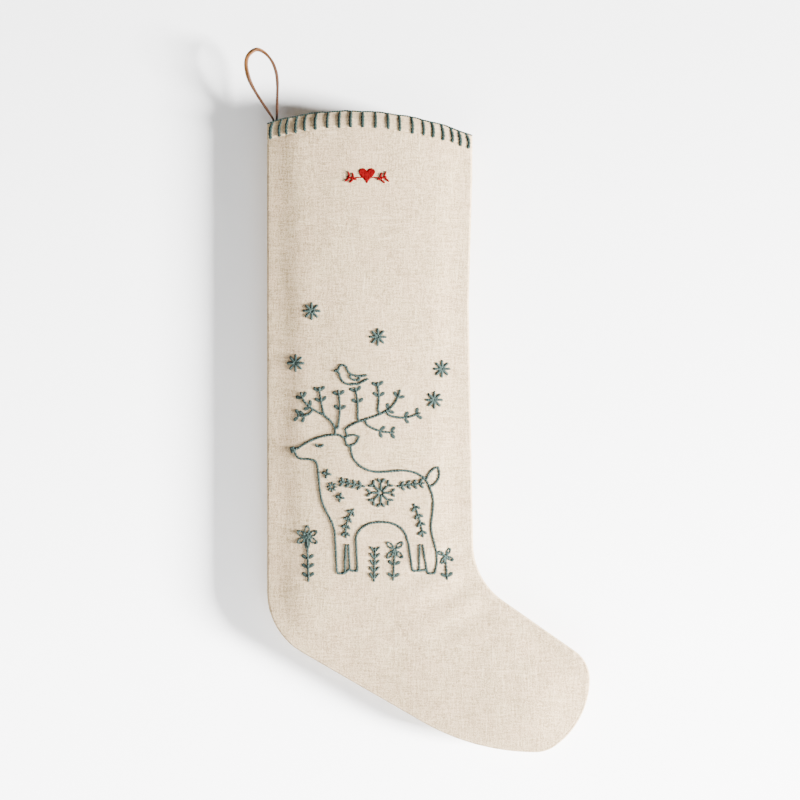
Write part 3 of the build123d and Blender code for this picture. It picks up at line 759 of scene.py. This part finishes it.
def red_motif(name, node):
    """A heart filled with close upright satin stitches, between its two sprigs."""
    parts = Parts()
    found = [stitch_ends(part) for part in loose_parts(node)]
    low, high = (np.array(c)[[0, 2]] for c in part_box(node))
    cx, cz = (low + high) / 2
    for a, b, wide_a, wide_b in found:
        if abs((a + b)[0] / 2 - cx) < HEART_HALF + 1.0 * MM:
            continue
        way = unit(b - a) * 0.3 * MM
        radius = 0.95 * max(min(wide_a, wide_b), 0.8 * MM)
        laid_stitch(parts, a - way, b + way, radius, 0.4 * MM, 0.4, THREAD_LAY)
    stem_z = np.mean([(a + b)[1] / 2 for a, b, _, _ in found if abs(a[0] - cx) > HEART_HALF + 3 * MM])
    for hand in (-1, 1):
        a = np.array([cx + hand * 0.5 * HEART_HALF, stem_z])
        b = np.array([cx + hand * (HEART_HALF + 3.4 * MM), stem_z])
        laid_stitch(parts, a, b, 0.55 * MM, 0.4 * MM, 0.4, THREAD_LAY)
    tall = (high[1] - low[1]) / 2
    for x in np.arange(-HEART_HALF + 0.3 * MM, HEART_HALF, 0.52 * MM):
        u = min(2 * abs(x) / HEART_HALF, 1.999)
        levels = math.acos(1 - u) - math.pi, math.sqrt(1 - (u - 1) ** 2)
        ends = [np.array([cx + x, cz + tall * (2 * (v + math.pi) / (1 + math.pi) - 1)]) for v in levels]
        radius = random.uniform(0.42, 0.48) * MM
        laid_stitch(parts, *ends, radius, 0.35 * MM, 0.7, 2.2 * MM, 0.01, 12)
    return parts.make(name, node)


STAR_REACH = 9.0 * MM
PETAL_ROOT = 2.6 * MM
FLOWER_EYES = {  # each flower's middle in mm, its number of petals and the first petal's turn
    "tall_flower": (41.0, -384.0, 6, 90),
    "meadow_flower": (110.0, -394.0, 4, 45),
    "small_flower": (150.0, -399.0, 4, 60),
}
LINE_GAP = 6.5 * MM  # a line that stops nearer than this to another is carried on to it
motif_joins = {
    "reindeer_outline": (LINE_GAP, ["reindeer_face"]),
    "reindeer_face": (0.0, []),
    "antlers": (LINE_GAP, ["reindeer_outline"]),
    "antler_leaves": (0.0, []),
    "saddle_ornament": (0.0, []),
    "neck_marks": (0.0, []),
    "leg_sprigs": (0.0, []),
    "bird": (4.0 * MM, []),
    "stars": (0.0, []),
    "tall_flower": (3.2 * MM, []),
    "meadow_flower": (3.2 * MM, []),
    "small_flower": (3.2 * MM, []),
    "fern": (0.0, []),
}
green_pieces = [embroidery("thread_" + node, node, join, onto) for node, (join, onto) in motif_joins.items()]
heart_piece = red_motif("thread_red_heart", "red_heart")


def through_stitches(name, node, faces_at, radius, lay):
    """Sewing that shows on both faces of the layers it holds: a thread on each face for each stitch."""
    parts = Parts()
    for part in loose_parts(node):
        a, b, _, _ = stitch_ends(part)
        for place in faces_at:
            points = []
            for t in np.linspace(0, 1, 7):
                x, z = a + (b - a) * t
                rise = min(1.0, math.sin(math.pi * t) * 2.2)
                base, normal = place(x, z)
                points.append(base + normal * (radius * 0.7 * rise - 0.3 * MM * (1 - rise)))
            normals = np.broadcast_to(normal, (len(points), 3))
            plied(parts, points, normals, radius, lay, sides=5)
    return parts.make(name, node)


def flat_faces(reach):
    """The outer faces of the two allowances, sewn together flat."""
    return [lambda x, z, way=way: (np.array([x, way * reach, z]), np.array([0, way, 0])) for way in (-1, 1)]


def panel_face(side):
    return lambda x, z: drop_on(trees[side], side, x, z)


def lining_face(side):
    """The lining's face inside the bag, where the topstitching comes through."""

    def place(x, z):
        hit, normal = drop_on(inner_trees[side], side, x, z)
        return hit - normal * (0.15 * MM + LINING), -normal

    return place


sewing_pieces = [
    through_stitches("thread_" + short, node, faces_at, radius, lay)
    for short, node, faces_at, radius, lay in (
        ("outer_seam", "outer_seam_thread", flat_faces(SEAM_SPLIT + LINEN), 0.25 * MM, 1.6 * MM),
        ("lining_seam", "lining_seam_thread", flat_faces(SEAM_SPLIT + LINING), 0.25 * MM, 1.6 * MM),
        ("hem_front", "hem_thread_front", (panel_face(-1), lining_face(-1)), 0.22 * MM, 1.5 * MM),
        ("hem_back", "hem_thread_back", (panel_face(1), lining_face(1)), 0.22 * MM, 1.5 * MM),
    )
]


# ---- blanket stitch ----


class Mouth:
    """The cloth's skin round one panel's rim, by distance over the rim (outside positive) and by x."""

    def __init__(self, outer, inner, fold):
        deep = int(np.argmax(runs > 16 * MM))
        self.skin = np.concatenate([inner[:deep][::-1], fold[::-1], outer[:deep]])
        middle = self.skin.shape[1] // 2
        self.run = run_of(self.skin[:, middle])
        self.run -= self.run[deep + len(fold) // 2]
        out = grid_normals(self.skin)
        top = out[deep + len(fold) // 2].mean(0)
        self.normals = out * (1 if top[2] > 0 else -1)

    def at(self, s, x):
        """The place and outward normal at the distance s over the rim."""
        level = np.interp(s, self.run, np.arange(len(self.run)))
        j = min(int(level), len(self.run) - 2)
        share = level - j
        row = self.skin[j] * (1 - share) + self.skin[j + 1] * share
        normal = self.normals[j] * (1 - share) + self.normals[j + 1] * share
        place = np.array([np.interp(x, row[:, 0], row[:, k]) for k in range(3)])
        return place, unit(np.array([np.interp(x, row[:, 0], normal[:, k]) for k in range(3)]))


BAR_POINTS = 44
BAR_SIZE = (1.20, 1.42)  # mm, from its middle to its edge
BAR_LENGTH = (11.9, 12.9)  # mm below the rim
BAR_LAY = 5.2 * MM
BAR_INSIDE = 9.5 * MM  # how far a bar goes down inside the mouth
BAR_END = 1.6 * MM  # it narrows and sinks in this close to its ends
BAR_LEAN = 2.3 * MM  # how far the outermost bars lean out at the rim
BAR_CROWD = 0.20  # how much closer the bars stand near both ends
BAR_LONGER = 2.2  # mm that the bars gain towards the loop's corner
EDGE_POINTS = 340
EDGE_SIZE = 0.62 * MM  # the thread along the rim
EDGE_LAY = 4.0 * MM


def blanket(name, node, mouth):
    """Wool bars over the rim, each drawn from the edge thread that runs along it."""
    parts = Parts()
    bars = [p for p in loose_parts(node) if np.ptp(p[:, 2]) > 8 * MM]
    low, high = mouth.skin[:, :, 0].min(), mouth.skin[:, :, 0].max()
    middle, half = (low + high) / 2, (high - low) / 2
    first, last = min(p[:, 0].mean() for p in bars), max(p[:, 0].mean() for p in bars)
    steps = np.linspace(-1, 1, len(bars))
    steps += BAR_CROWD * np.sin(math.pi * steps) / math.pi
    places = (first + last) / 2 + (last - first) / 2 * steps
    places += np.array([random.uniform(-0.7, 0.7) for _ in bars]) * MM
    for x in places:
        lean = (middle - x) / half
        bend = random.uniform(-0.3, 0.3) * MM
        size = random.uniform(*BAR_SIZE) * MM
        along = np.clip((x - low) / (high - low), 0, 1)
        bottom = (random.uniform(*BAR_LENGTH) + BAR_LONGER * (1 - along**3)) * MM
        points, normals, radii = [], [], []
        for s in np.linspace(-BAR_INSIDE, bottom, BAR_POINTS):
            t = np.clip(s / bottom, 0, 1)
            bow = math.sin(math.pi * t)
            shift = lean * (BAR_LEAN * (1 - t) ** 3 - 0.9 * MM * bow) + bend * bow
            if s <= 0:
                shift = lean * BAR_LEAN * (1 + s / BAR_INSIDE)
            place, normal = mouth.at(s, x + shift)
            end = min(abs(s - bottom), abs(s + BAR_INSIDE))
            rise = smoothstep(end / BAR_END)
            r = size * (0.62 + 0.38 * smoothstep(s / (5 * MM))) * (0.55 + 0.45 * rise)
            points.append(place + normal * (0.20 * r * rise - 0.8 * MM * (1 - rise)))
            normals.append(normal)
            radii.append(r)
        start = random.uniform(0, 6.28)
        plied(parts, points, normals, radii, BAR_LAY, sides=9, start=start, flatten=0.64)
    points, normals = [], []
    for x in np.linspace(low + 0.8 * MM, high - 0.8 * MM, EDGE_POINTS):
        near = min(abs(x - p - (middle - p) / half * BAR_LEAN) for p in places)
        slack = 0.35 * MM * smoothstep(near / (3 * MM))
        place, normal = mouth.at((0.85 + 0.3 * math.sin(x / (4.1 * MM))) * MM, x)
        points.append(place + normal * (0.50 * MM + slack * 0.3))
        normals.append(normal)
    plied(parts, points, normals, EDGE_SIZE, EDGE_LAY, sides=7, flatten=0.9)
    return parts.make(name, node)


yarn_front = blanket("yarn_blanket_front", "blanket_stitch_front", Mouth(front, front_inner, front_fold))
yarn_back = blanket("yarn_blanket_back", "blanket_stitch_back", Mouth(back, back_inner, back_fold))


# ---- leather loop ----


def smooth_path(points, count):
    """Even points along a smooth curve through the given ones."""
    p = np.asarray(points, float)
    p = np.concatenate([[2 * p[0] - p[1]], p, [2 * p[-1] - p[-2]]])
    out = []
    for i in range(1, len(p) - 2):
        for t in np.linspace(0, 1, 40, endpoint=False):
            a, b, c, d = p[i - 1 : i + 3]
            bend, turn = 2 * a - 5 * b + 4 * c - d, 3 * b - a - 3 * c + d
            out.append(0.5 * (2 * b + (c - a) * t + bend * t**2 + turn * t**3))
    out.append(p[-2])
    out = np.array(out)
    return at_length(out, np.linspace(0, length_of(out), count))


LACE_HALF_WIDTH = 1.5 * MM
LACE_HALF_THICK = 0.85 * MM
LACE_CORNER = 0.32 * MM
LACE_STOUT = 0.28  # how much thicker it is where it is seen
LACE_POINTS = 190
LACE_TWIST = math.radians(78)  # where it goes over the top, and a little back on the way down
LACE_BACK_TWIST = math.radians(16)
# the eye's two sides, in mm from the pivot, up to its top and down again
LACE_UP = (
    (-1.2, -2.5), (-2.6, 1.5), (-9.3, 11.5), (-15.4, 21),
    (-19.6, 29), (-22.2, 37), (-22.9, 45), (-20.6, 51),
)
LACE_DOWN = ((-8.4, 52.3), (-2.6, 45.5), (0.7, 37), (1.8, 28), (1.6, 15), (1.4, 2.5), (1.0, -2.5))


def lace_mesh():
    """One flat lace: up from inside the corner, round the eye and back down beside itself."""
    _, loop_high = (np.array(c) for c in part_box("hanging_loop"))
    tail_low, tail_high = (np.array(c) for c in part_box("loop_tails"))
    inset = LACE_HALF_THICK + 0.1 * MM
    x_left, x_right = tail_low[0] + inset, tail_high[0] - inset
    eye_top = loop_high[2] - LACE_HALF_THICK
    px, pz = PIVOT[0], PIVOT[2]
    tail_end, tail_bend = tail_low[2] + 0.2 * MM, tail_low[2] + 9 * MM
    track = [(x_left, tail_end), (x_left, tail_bend)]
    track += [(px + x * MM, pz + z * MM) for x, z in LACE_UP] + [(px - 14.8 * MM, eye_top)]
    track += [(px + x * MM, pz + z * MM) for x, z in LACE_DOWN]
    track += [(x_right, tail_bend), (x_right, tail_end)]
    line = smooth_path(track, LACE_POINTS)
    n = len(line)
    run = np.linspace(0, 1, n)
    points = np.stack([line[:, 0], np.zeros(n), line[:, 1]], -1)
    tangent = unit(np.gradient(points, axis=0))
    flat_way = np.broadcast_to(np.array([0.0, 1.0, 0.0]), (n, 3))
    normal = np.cross(tangent, flat_way)
    twist = LACE_TWIST * bump_at(run, 0.43, 0.10) - LACE_BACK_TWIST * bump_at(run, 0.66, 0.08)
    width_way = np.cos(twist)[:, None] * flat_way + np.sin(twist)[:, None] * normal
    thick_way = np.cross(width_way, tangent)
    points[:, 1] = 0.5 * MM * np.sin(run * 9.0) * smoothstep((line[:, 1] - pz) / (12 * MM))
    stout = 1 + LACE_STOUT * smoothstep((line[:, 1] - pz) / (8 * MM))
    square = np.array([LACE_HALF_WIDTH, LACE_HALF_THICK]) - LACE_CORNER
    section = []
    for corner, start in (((1, 1), 0), ((-1, 1), 90), ((-1, -1), 180), ((1, -1), 270)):
        for turn in (math.radians(start + 30 * k) for k in range(4)):
            section.append(corner * square + LACE_CORNER * np.array([math.cos(turn), math.sin(turn)]))
    section = np.array(section)
    sides = len(section)
    verts = points[:, None] + section[None, :, :1] * width_way[:, None]
    verts = verts + section[None, :, 1:] * (stout[:, None] * thick_way)[:, None]
    faces = [(a, d, c, b) for a, b, c, d in ring_faces(n, sides)]
    faces.append(tuple(range(sides - 1, -1, -1)))
    faces.append(tuple(range((n - 1) * sides, n * sides)))
    broad = (3, 11)  # the sides of the section that are the lace's two faces
    edges = [i not in broad for _ in range(n - 1) for i in range(sides)] + [True, True]
    return add_mesh("leather_lace", verts.reshape(-1, 3), faces), edges


lace, lace_edges = lace_mesh()
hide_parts("hanging_loop", "loop_tails")


def tack_mesh():
    """Bar-tack stitches that hold the lace's tails in the seam."""
    parts = Parts()
    for part in loose_parts("loop_tack"):
        low, high = part.min(0), part.max(0)
        x0, x1, z = low[0], high[0], (low[2] + high[2]) / 2
        y = (high[1] - low[1]) / 2
        radius = (high[2] - low[2]) / 2
        turns = np.linspace(0, 2 * math.pi, 40)
        middle, half = (x0 + x1) / 2, (x1 - x0) / 2 - radius
        round_x, round_y = (np.sign(c) * np.abs(c) ** 0.35 for c in (np.cos(turns), np.sin(turns)))
        points = np.stack([middle + half * round_x, (y - radius) * round_y, np.full(40, z)], -1)
        normals = unit(np.stack([np.cos(turns), np.sin(turns), np.zeros(40)], -1))
        plied(parts, points, normals, radius, 2.0 * MM, sides=6)
    return parts.make("thread_loop_tack", "loop_tack")


tack = tack_mesh()

# ---- materials ----


class Nodes:
    """Short ways to build a node material."""

    def __init__(self, name):
        self.material = bpy.data.materials.new(name)
        self.material.use_nodes = True
        self.tree = self.material.node_tree
        self.shader = self.tree.nodes["Principled BSDF"]
        self.coords = self.tree.nodes.new("ShaderNodeTexCoord").outputs["Object"]

    def new(self, kind, **settings):
        node = self.tree.nodes.new(kind)
        for key, value in settings.items():
            setattr(node, key, value)
        return node

    def link(self, a, b):
        self.tree.links.new(a, b)

    def put(self, socket, value):
        if isinstance(value, bpy.types.NodeSocket):
            self.link(value, socket)
        else:
            socket.default_value = value

    def math(self, operation, a, b=0.0, c=0.0):
        node = self.new("ShaderNodeMath", operation=operation)
        for socket, value in zip(node.inputs, (a, b, c)):
            self.put(socket, value)
        return node.outputs[0]

    def add(self, a, b):
        return self.math("ADD", a, b)

    def times(self, a, b):
        return self.math("MULTIPLY", a, b)

    def axes(self):
        node = self.new("ShaderNodeSeparateXYZ")
        self.link(self.coords, node.inputs[0])
        return node.outputs

    def mapping(self, scale, location=(0, 0, 0)):
        node = self.new("ShaderNodeMapping")
        self.link(self.coords, node.inputs["Vector"])
        node.inputs["Scale"].default_value = scale
        node.inputs["Location"].default_value = location
        return node.outputs[0]

    def noise(self, scale, detail=2.0, vector=None, rough=0.5):
        node = self.new("ShaderNodeTexNoise")
        node.inputs["Scale"].default_value = scale
        node.inputs["Detail"].default_value = detail
        node.inputs["Roughness"].default_value = rough
        self.link(vector or self.coords, node.inputs["Vector"])
        return node.outputs["Fac"]

    def spread(self, value, low, high, to_low=0.0, to_high=1.0):
        node = self.new("ShaderNodeMapRange")
        for socket, number in zip(list(node.inputs)[:5], (value, low, high, to_low, to_high)):
            self.put(socket, number)
        return node.outputs[0]

    def mix(self, factor, a, b, blend="MIX"):
        node = self.new("ShaderNodeMix", data_type="RGBA", blend_type=blend)
        self.put(node.inputs["Factor"], factor)
        self.put(node.inputs["A"], a)
        self.put(node.inputs["B"], b)
        return node.outputs["Result"]

    def bump(self, height, distance):
        node = self.new("ShaderNodeBump")
        node.inputs["Strength"].default_value = 1.0
        node.inputs["Distance"].default_value = distance
        self.link(height, node.inputs["Height"])
        self.link(node.outputs[0], self.shader.inputs["Normal"])

    def surface(self, colour, roughness, **others):
        self.put(self.shader.inputs["Base Color"], colour)
        self.put(self.shader.inputs["Roughness"], roughness)
        for key, value in others.items():
            self.put(self.shader.inputs[key.replace("_", " ")], value)
        return self.material


def woven(name, pitch, light, dark, fleck, slub, bump, fleck_amount=1.0):
    """Plain weave: threads over and under, uneven in thickness and tone, with slubs and flecks."""
    n = Nodes(name)
    x, y, z = n.axes()
    wander = n.noise(90, 1.0)
    wander_z = n.noise(90, 1.0, n.mapping((1, 1, 1), (0.31, 0.2, 0.77)))
    u = n.add(n.math("DIVIDE", x, pitch), n.times(wander, 2.4))
    v = n.add(n.math("DIVIDE", z, pitch), n.times(wander_z, 2.4))
    sin_u, sin_v = n.math("SINE", n.times(u, math.pi)), n.math("SINE", n.times(v, math.pi))
    warp, weft = n.math("ABSOLUTE", sin_u), n.math("ABSOLUTE", sin_v)
    over = n.math("GREATER_THAN", n.times(sin_u, sin_v), 0.0)
    tall = n.times(warp, n.math("POWER", weft, 0.45))
    wide = n.times(weft, n.math("POWER", warp, 0.45))
    crossing = n.add(n.times(over, tall), n.times(n.math("SUBTRACT", 1.0, over), wide))
    upright = n.noise(1.0, 3.0, n.mapping((900, 90, 110)), 0.6)
    level = n.noise(1.0, 3.0, n.mapping((110, 90, 900), (3, 1, 2)), 0.6)
    slubs_up = n.spread(n.noise(1.0, 2.0, n.mapping((520, 40, 60), (7, 0, 1))), 0.62, 0.80)
    slubs_level = n.spread(n.noise(1.0, 2.0, n.mapping((60, 40, 520), (1, 0, 9))), 0.62, 0.80)
    streak = n.add(n.times(upright, 0.5), n.times(level, 0.5))
    slubs = n.math("MAXIMUM", slubs_up, slubs_level)
    grain = n.noise(1150, 3.0, None, 0.6)
    height = n.add(crossing, n.times(slubs, 0.55))
    height = n.add(height, n.times(n.math("SUBTRACT", streak, 0.5), 1.2))
    height = n.add(height, n.times(grain, 0.35))
    # painted shade: the colour follows the weave's height, so the gaps between the threads are darker;
    # streak and grain vary the tone at random
    tone = n.add(n.times(crossing, 0.80), n.times(n.math("SUBTRACT", streak, 0.5), 2.1))
    tone = n.add(tone, n.times(n.math("SUBTRACT", grain, 0.5), 2.4))
    tone = n.add(tone, 0.12)
    colour = n.mix(n.spread(tone, 0.0, 1.0), dark, light)
    colour = n.mix(n.times(slubs, 0.35), colour, slub)
    blotch = n.spread(n.noise(22, 3.0), 0.35, 0.65, 0.0, 1.0)
    colour = n.mix(n.times(blotch, 0.05), colour, dark)
    warmth = n.spread(n.noise(38, 4.0, None, 0.7), 0.35, 0.65, 0.0, 1.0)
    colour = n.mix(n.times(warmth, 0.8), colour, (1.01, 0.962, 0.985, 1), "MULTIPLY")
    specks = n.spread(n.noise(1.0, 1.0, n.mapping((560, 300, 800), (5, 3, 8))), 0.735, 0.775)
    colour = n.mix(n.times(specks, 0.8 * fleck_amount), colour, fleck)
    n.bump(height, bump)
    return n.surface(colour, 0.95, Sheen_Weight=0.03, Sheen_Roughness=0.5, Specular_IOR_Level=0.08)


linen = woven(
    "linen",
    1.0 * MM,
    light=(0.446, 0.345, 0.209, 1),
    dark=(0.157, 0.112, 0.0585, 1),
    fleck=(0.09, 0.05, 0.025, 1),
    slub=(0.60, 0.48, 0.31, 1),
    bump=0.10 * MM,
)
cotton = woven(
    "lining_cotton",
    0.55 * MM,
    light=(0.66, 0.58, 0.43, 1),
    dark=(0.55, 0.47, 0.34, 1),
    fleck=(0.40, 0.30, 0.19, 1),
    slub=(0.70, 0.62, 0.48, 1),
    bump=0.05 * MM,
    fleck_amount=0.3,
)


def thread(name, light, dark, fibre_scale, roughness, sheen, bump):
    """Spun thread: fine fibres and clumps that vary its tone."""
    n = Nodes(name)
    fibres = n.noise(fibre_scale, 4.0, None, 0.7)
    clumps = n.noise(fibre_scale * 0.18, 2.0)
    tone = n.add(n.times(fibres, 0.65), n.times(clumps, 0.35))
    colour = n.mix(n.spread(tone, 0.36, 0.64), dark, light)
    n.bump(fibres, bump)
    return n.surface(colour, roughness, Sheen_Weight=sheen, Sheen_Roughness=0.4, Specular_IOR_Level=0.02)


wool = thread(
    "wool_thread", (0.021, 0.034, 0.030, 1), (0.0085, 0.0150, 0.0132, 1), 2400, 0.95, 0.02, 0.12 * MM
)
green = thread(
    "green_thread", (0.032, 0.047, 0.042, 1), (0.019, 0.029, 0.026, 1), 3200, 0.85, 0.01, 0.06 * MM
)
red = thread("red_thread", (0.115, 0.0010, 0.0020, 1), (0.06, 0.0005, 0.0010, 1), 3200, 0.8, 0.0, 0.06 * MM)
natural = thread("natural_thread", (0.50, 0.38, 0.22, 1), (0.32, 0.23, 0.12, 1), 3200, 0.9, 0.02, 0.05 * MM)


def leather(name, light, dark, unshaded_tone, roughness):
    """Vegetable-tanned leather: cloudy tone, fine pores and creases, with painted shade that darkens it low
    down and on its right leg.
    """
    n = Nodes(name)
    cloud = n.noise(180, 4.0, None, 0.6)
    pores = n.new("ShaderNodeTexVoronoi")
    n.link(n.coords, pores.inputs["Vector"])
    pores.inputs["Scale"].default_value = 2200
    crease = n.noise(1.0, 3.0, n.mapping((900, 900, 260)))
    tone = n.add(n.times(cloud, 0.7), n.times(crease, 0.3))
    colour = n.mix(n.spread(tone, 0.32, 0.68), dark, light)
    x, _, height = n.axes()
    # painted shade: darker towards the lace's foot and along its right-hand leg, paler towards the top of
    # its left side
    painted_shade_by_side = n.spread(x, PIVOT[0] - 11 * MM, PIVOT[0], 1.0, 0.35)
    painted_shade_by_height = n.spread(height, PIVOT[2] + 10 * MM, PIVOT[2] + 55 * MM)
    colour = n.mix(n.times(painted_shade_by_height, painted_shade_by_side), dark, n.mix(0.6, colour, unshaded_tone))
    n.bump(n.add(pores.outputs["Distance"], crease), 0.05 * MM)
    rough = n.spread(cloud, 0.3, 0.7, roughness - 0.08, roughness + 0.08)
    return n.surface(colour, rough, Specular_IOR_Level=0.15)


lace_face = leather(
    "leather_face", (0.155, 0.060, 0.017, 1), (0.044, 0.0145, 0.0042, 1), (0.30, 0.130, 0.041, 1), 0.6
)
lace_rim = leather(
    "leather_edge", (0.055, 0.020, 0.0065, 1), (0.024, 0.0085, 0.003, 1), (0.10, 0.040, 0.013, 1), 0.7
)


def give(piece, material):
    """Dresses a piece in a material."""
    piece.data.materials.clear()
    piece.data.materials.append(material)


give(front_piece, linen)
give(back_piece, linen)
give(front_lining, cotton)
give(back_lining, cotton)
for piece in green_pieces:
    give(piece, green)
give(heart_piece, red)
for piece in (yarn_front, yarn_back):
    give(piece, wool)
for piece in (*sewing_pieces, tack):
    give(piece, natural)
give(lace, lace_face)
lace.data.materials.append(lace_rim)
for poly, is_edge in zip(lace.data.polygons, lace_edges):
    poly.material_index = 1 if is_edge else 0

# ---- bodies ----

for piece, node in (
    (front_piece, "front_panel"),
    (back_piece, "back_panel"),
    (front_lining, "front_lining"),
    (back_lining, "back_lining"),
):
    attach(piece, "stocking")
    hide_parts(node)

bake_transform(lace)


# ---- wall, floor, light, camera ----

CENTRE = Vector((0.114, 0.0, -0.276))
WALL_Y = BACK_Y + 6.0 * MM  # it hangs from a hook, a little off the wall
FLOOR_Z = -1.6


def stage_plane(name, centre, half_x, half_y, rotation):
    corners = [(x * half_x, y * half_y, 0) for x, y in ((-1, -1), (1, -1), (1, 1), (-1, 1))]
    obj = add_mesh(name, corners, [(0, 1, 2, 3)], smooth=False)
    obj.location = centre
    obj.rotation_euler = rotation
    return obj


def plaster(name, light, dark, see_through_behind=False, shaded=0.0):
    """Matt paint with the faintest unevenness, and painted shade that darkens it towards its top."""
    n = Nodes(name)
    cloud = n.noise(1.6, 3.0)
    colour = n.mix(n.spread(cloud, 0.3, 0.7), dark, light)
    if shaded:
        # painted shade: the paint turns greyer up the wall
        _, y, _ = n.axes()
        colour = n.mix(n.spread(y, -0.20, 0.30, 0.0, shaded), colour, (0.5, 0.5, 0.5, 1))
    n.bump(n.noise(420, 3.0), 0.03 * MM)
    n.surface(colour, 0.95, Specular_IOR_Level=0.1)
    if see_through_behind:
        facing = n.new("ShaderNodeNewGeometry").outputs["Backfacing"]
        clear = n.new("ShaderNodeBsdfTransparent")
        join = n.new("ShaderNodeMixShader")
        n.link(facing, join.inputs[0])
        n.link(n.shader.outputs[0], join.inputs[1])
        n.link(clear.outputs[0], join.inputs[2])
        n.link(join.outputs[0], n.tree.nodes["Material Output"].inputs["Surface"])
    return n.material


wall = stage_plane("wall", (CENTRE.x, WALL_Y, CENTRE.z), 3.0, 3.0, (math.radians(90), 0, 0))
wall.data.materials.append(plaster("wall_paint", (0.95, 0.95, 0.95, 1), (0.94, 0.94, 0.94, 1), True, 0.62))
wall.visible_shadow = False
floor = stage_plane("floor", (CENTRE.x, 0, FLOOR_Z), 2.0, 3.0, (0, 0, 0))
floor.data.materials.append(plaster("floor_paint", (0.90, 0.90, 0.90, 1), (0.89, 0.89, 0.89, 1)))

world = bpy.data.worlds.new("studio")
bpy.context.scene.world = world
world.use_nodes = True
world.node_tree.nodes["Background"].inputs["Color"].default_value = (1.0, 1.0, 1.0, 1)
world.node_tree.nodes["Background"].inputs["Strength"].default_value = 0.165


def area_light(name, place, target, size, energy):
    data = bpy.data.lights.new(name, "AREA")
    data.shape = "RECTANGLE"
    data.size, data.size_y = size
    data.energy = energy
    obj = bpy.data.objects.new(name, data)
    obj.location = place
    obj.rotation_euler = (target - place).to_track_quat("-Z", "Y").to_euler()
    bpy.context.scene.collection.objects.link(obj)


KEY_ANGLE = math.radians(72)
KEY_RISE = math.radians(-11)
KEY_DISTANCE = 6.0
aside = math.sin(KEY_ANGLE)
key_way = Vector((aside * math.cos(KEY_RISE), -math.cos(KEY_ANGLE), aside * math.sin(KEY_RISE)))
area_light("key", CENTRE + key_way * KEY_DISTANCE, CENTRE, (1.35, 1.35), 7850)
area_light("low_fill", CENTRE + Vector((-0.1, -0.8, -1.0)), CENTRE + Vector((0, 0, -0.55)), (1.6, 0.6), 24.5)
area_light("back_fill", CENTRE + Vector((-0.8, 3.0, 0.9)), CENTRE, (2.4, 2.4), 300)

camera_data = bpy.data.cameras.new("camera")
CAMERA_DISTANCE = 1.45
FIELD = 0.633  # how much the picture spans at the seam plane
camera_data.sensor_width = 36
camera_data.lens = 36 * CAMERA_DISTANCE / FIELD
camera = bpy.data.objects.new("camera", camera_data)
camera.location = CENTRE + Vector((0, -CAMERA_DISTANCE, 0))
camera.rotation_euler = (math.radians(90), 0, 0)
bpy.context.scene.collection.objects.link(camera)
bpy.context.scene.camera = camera
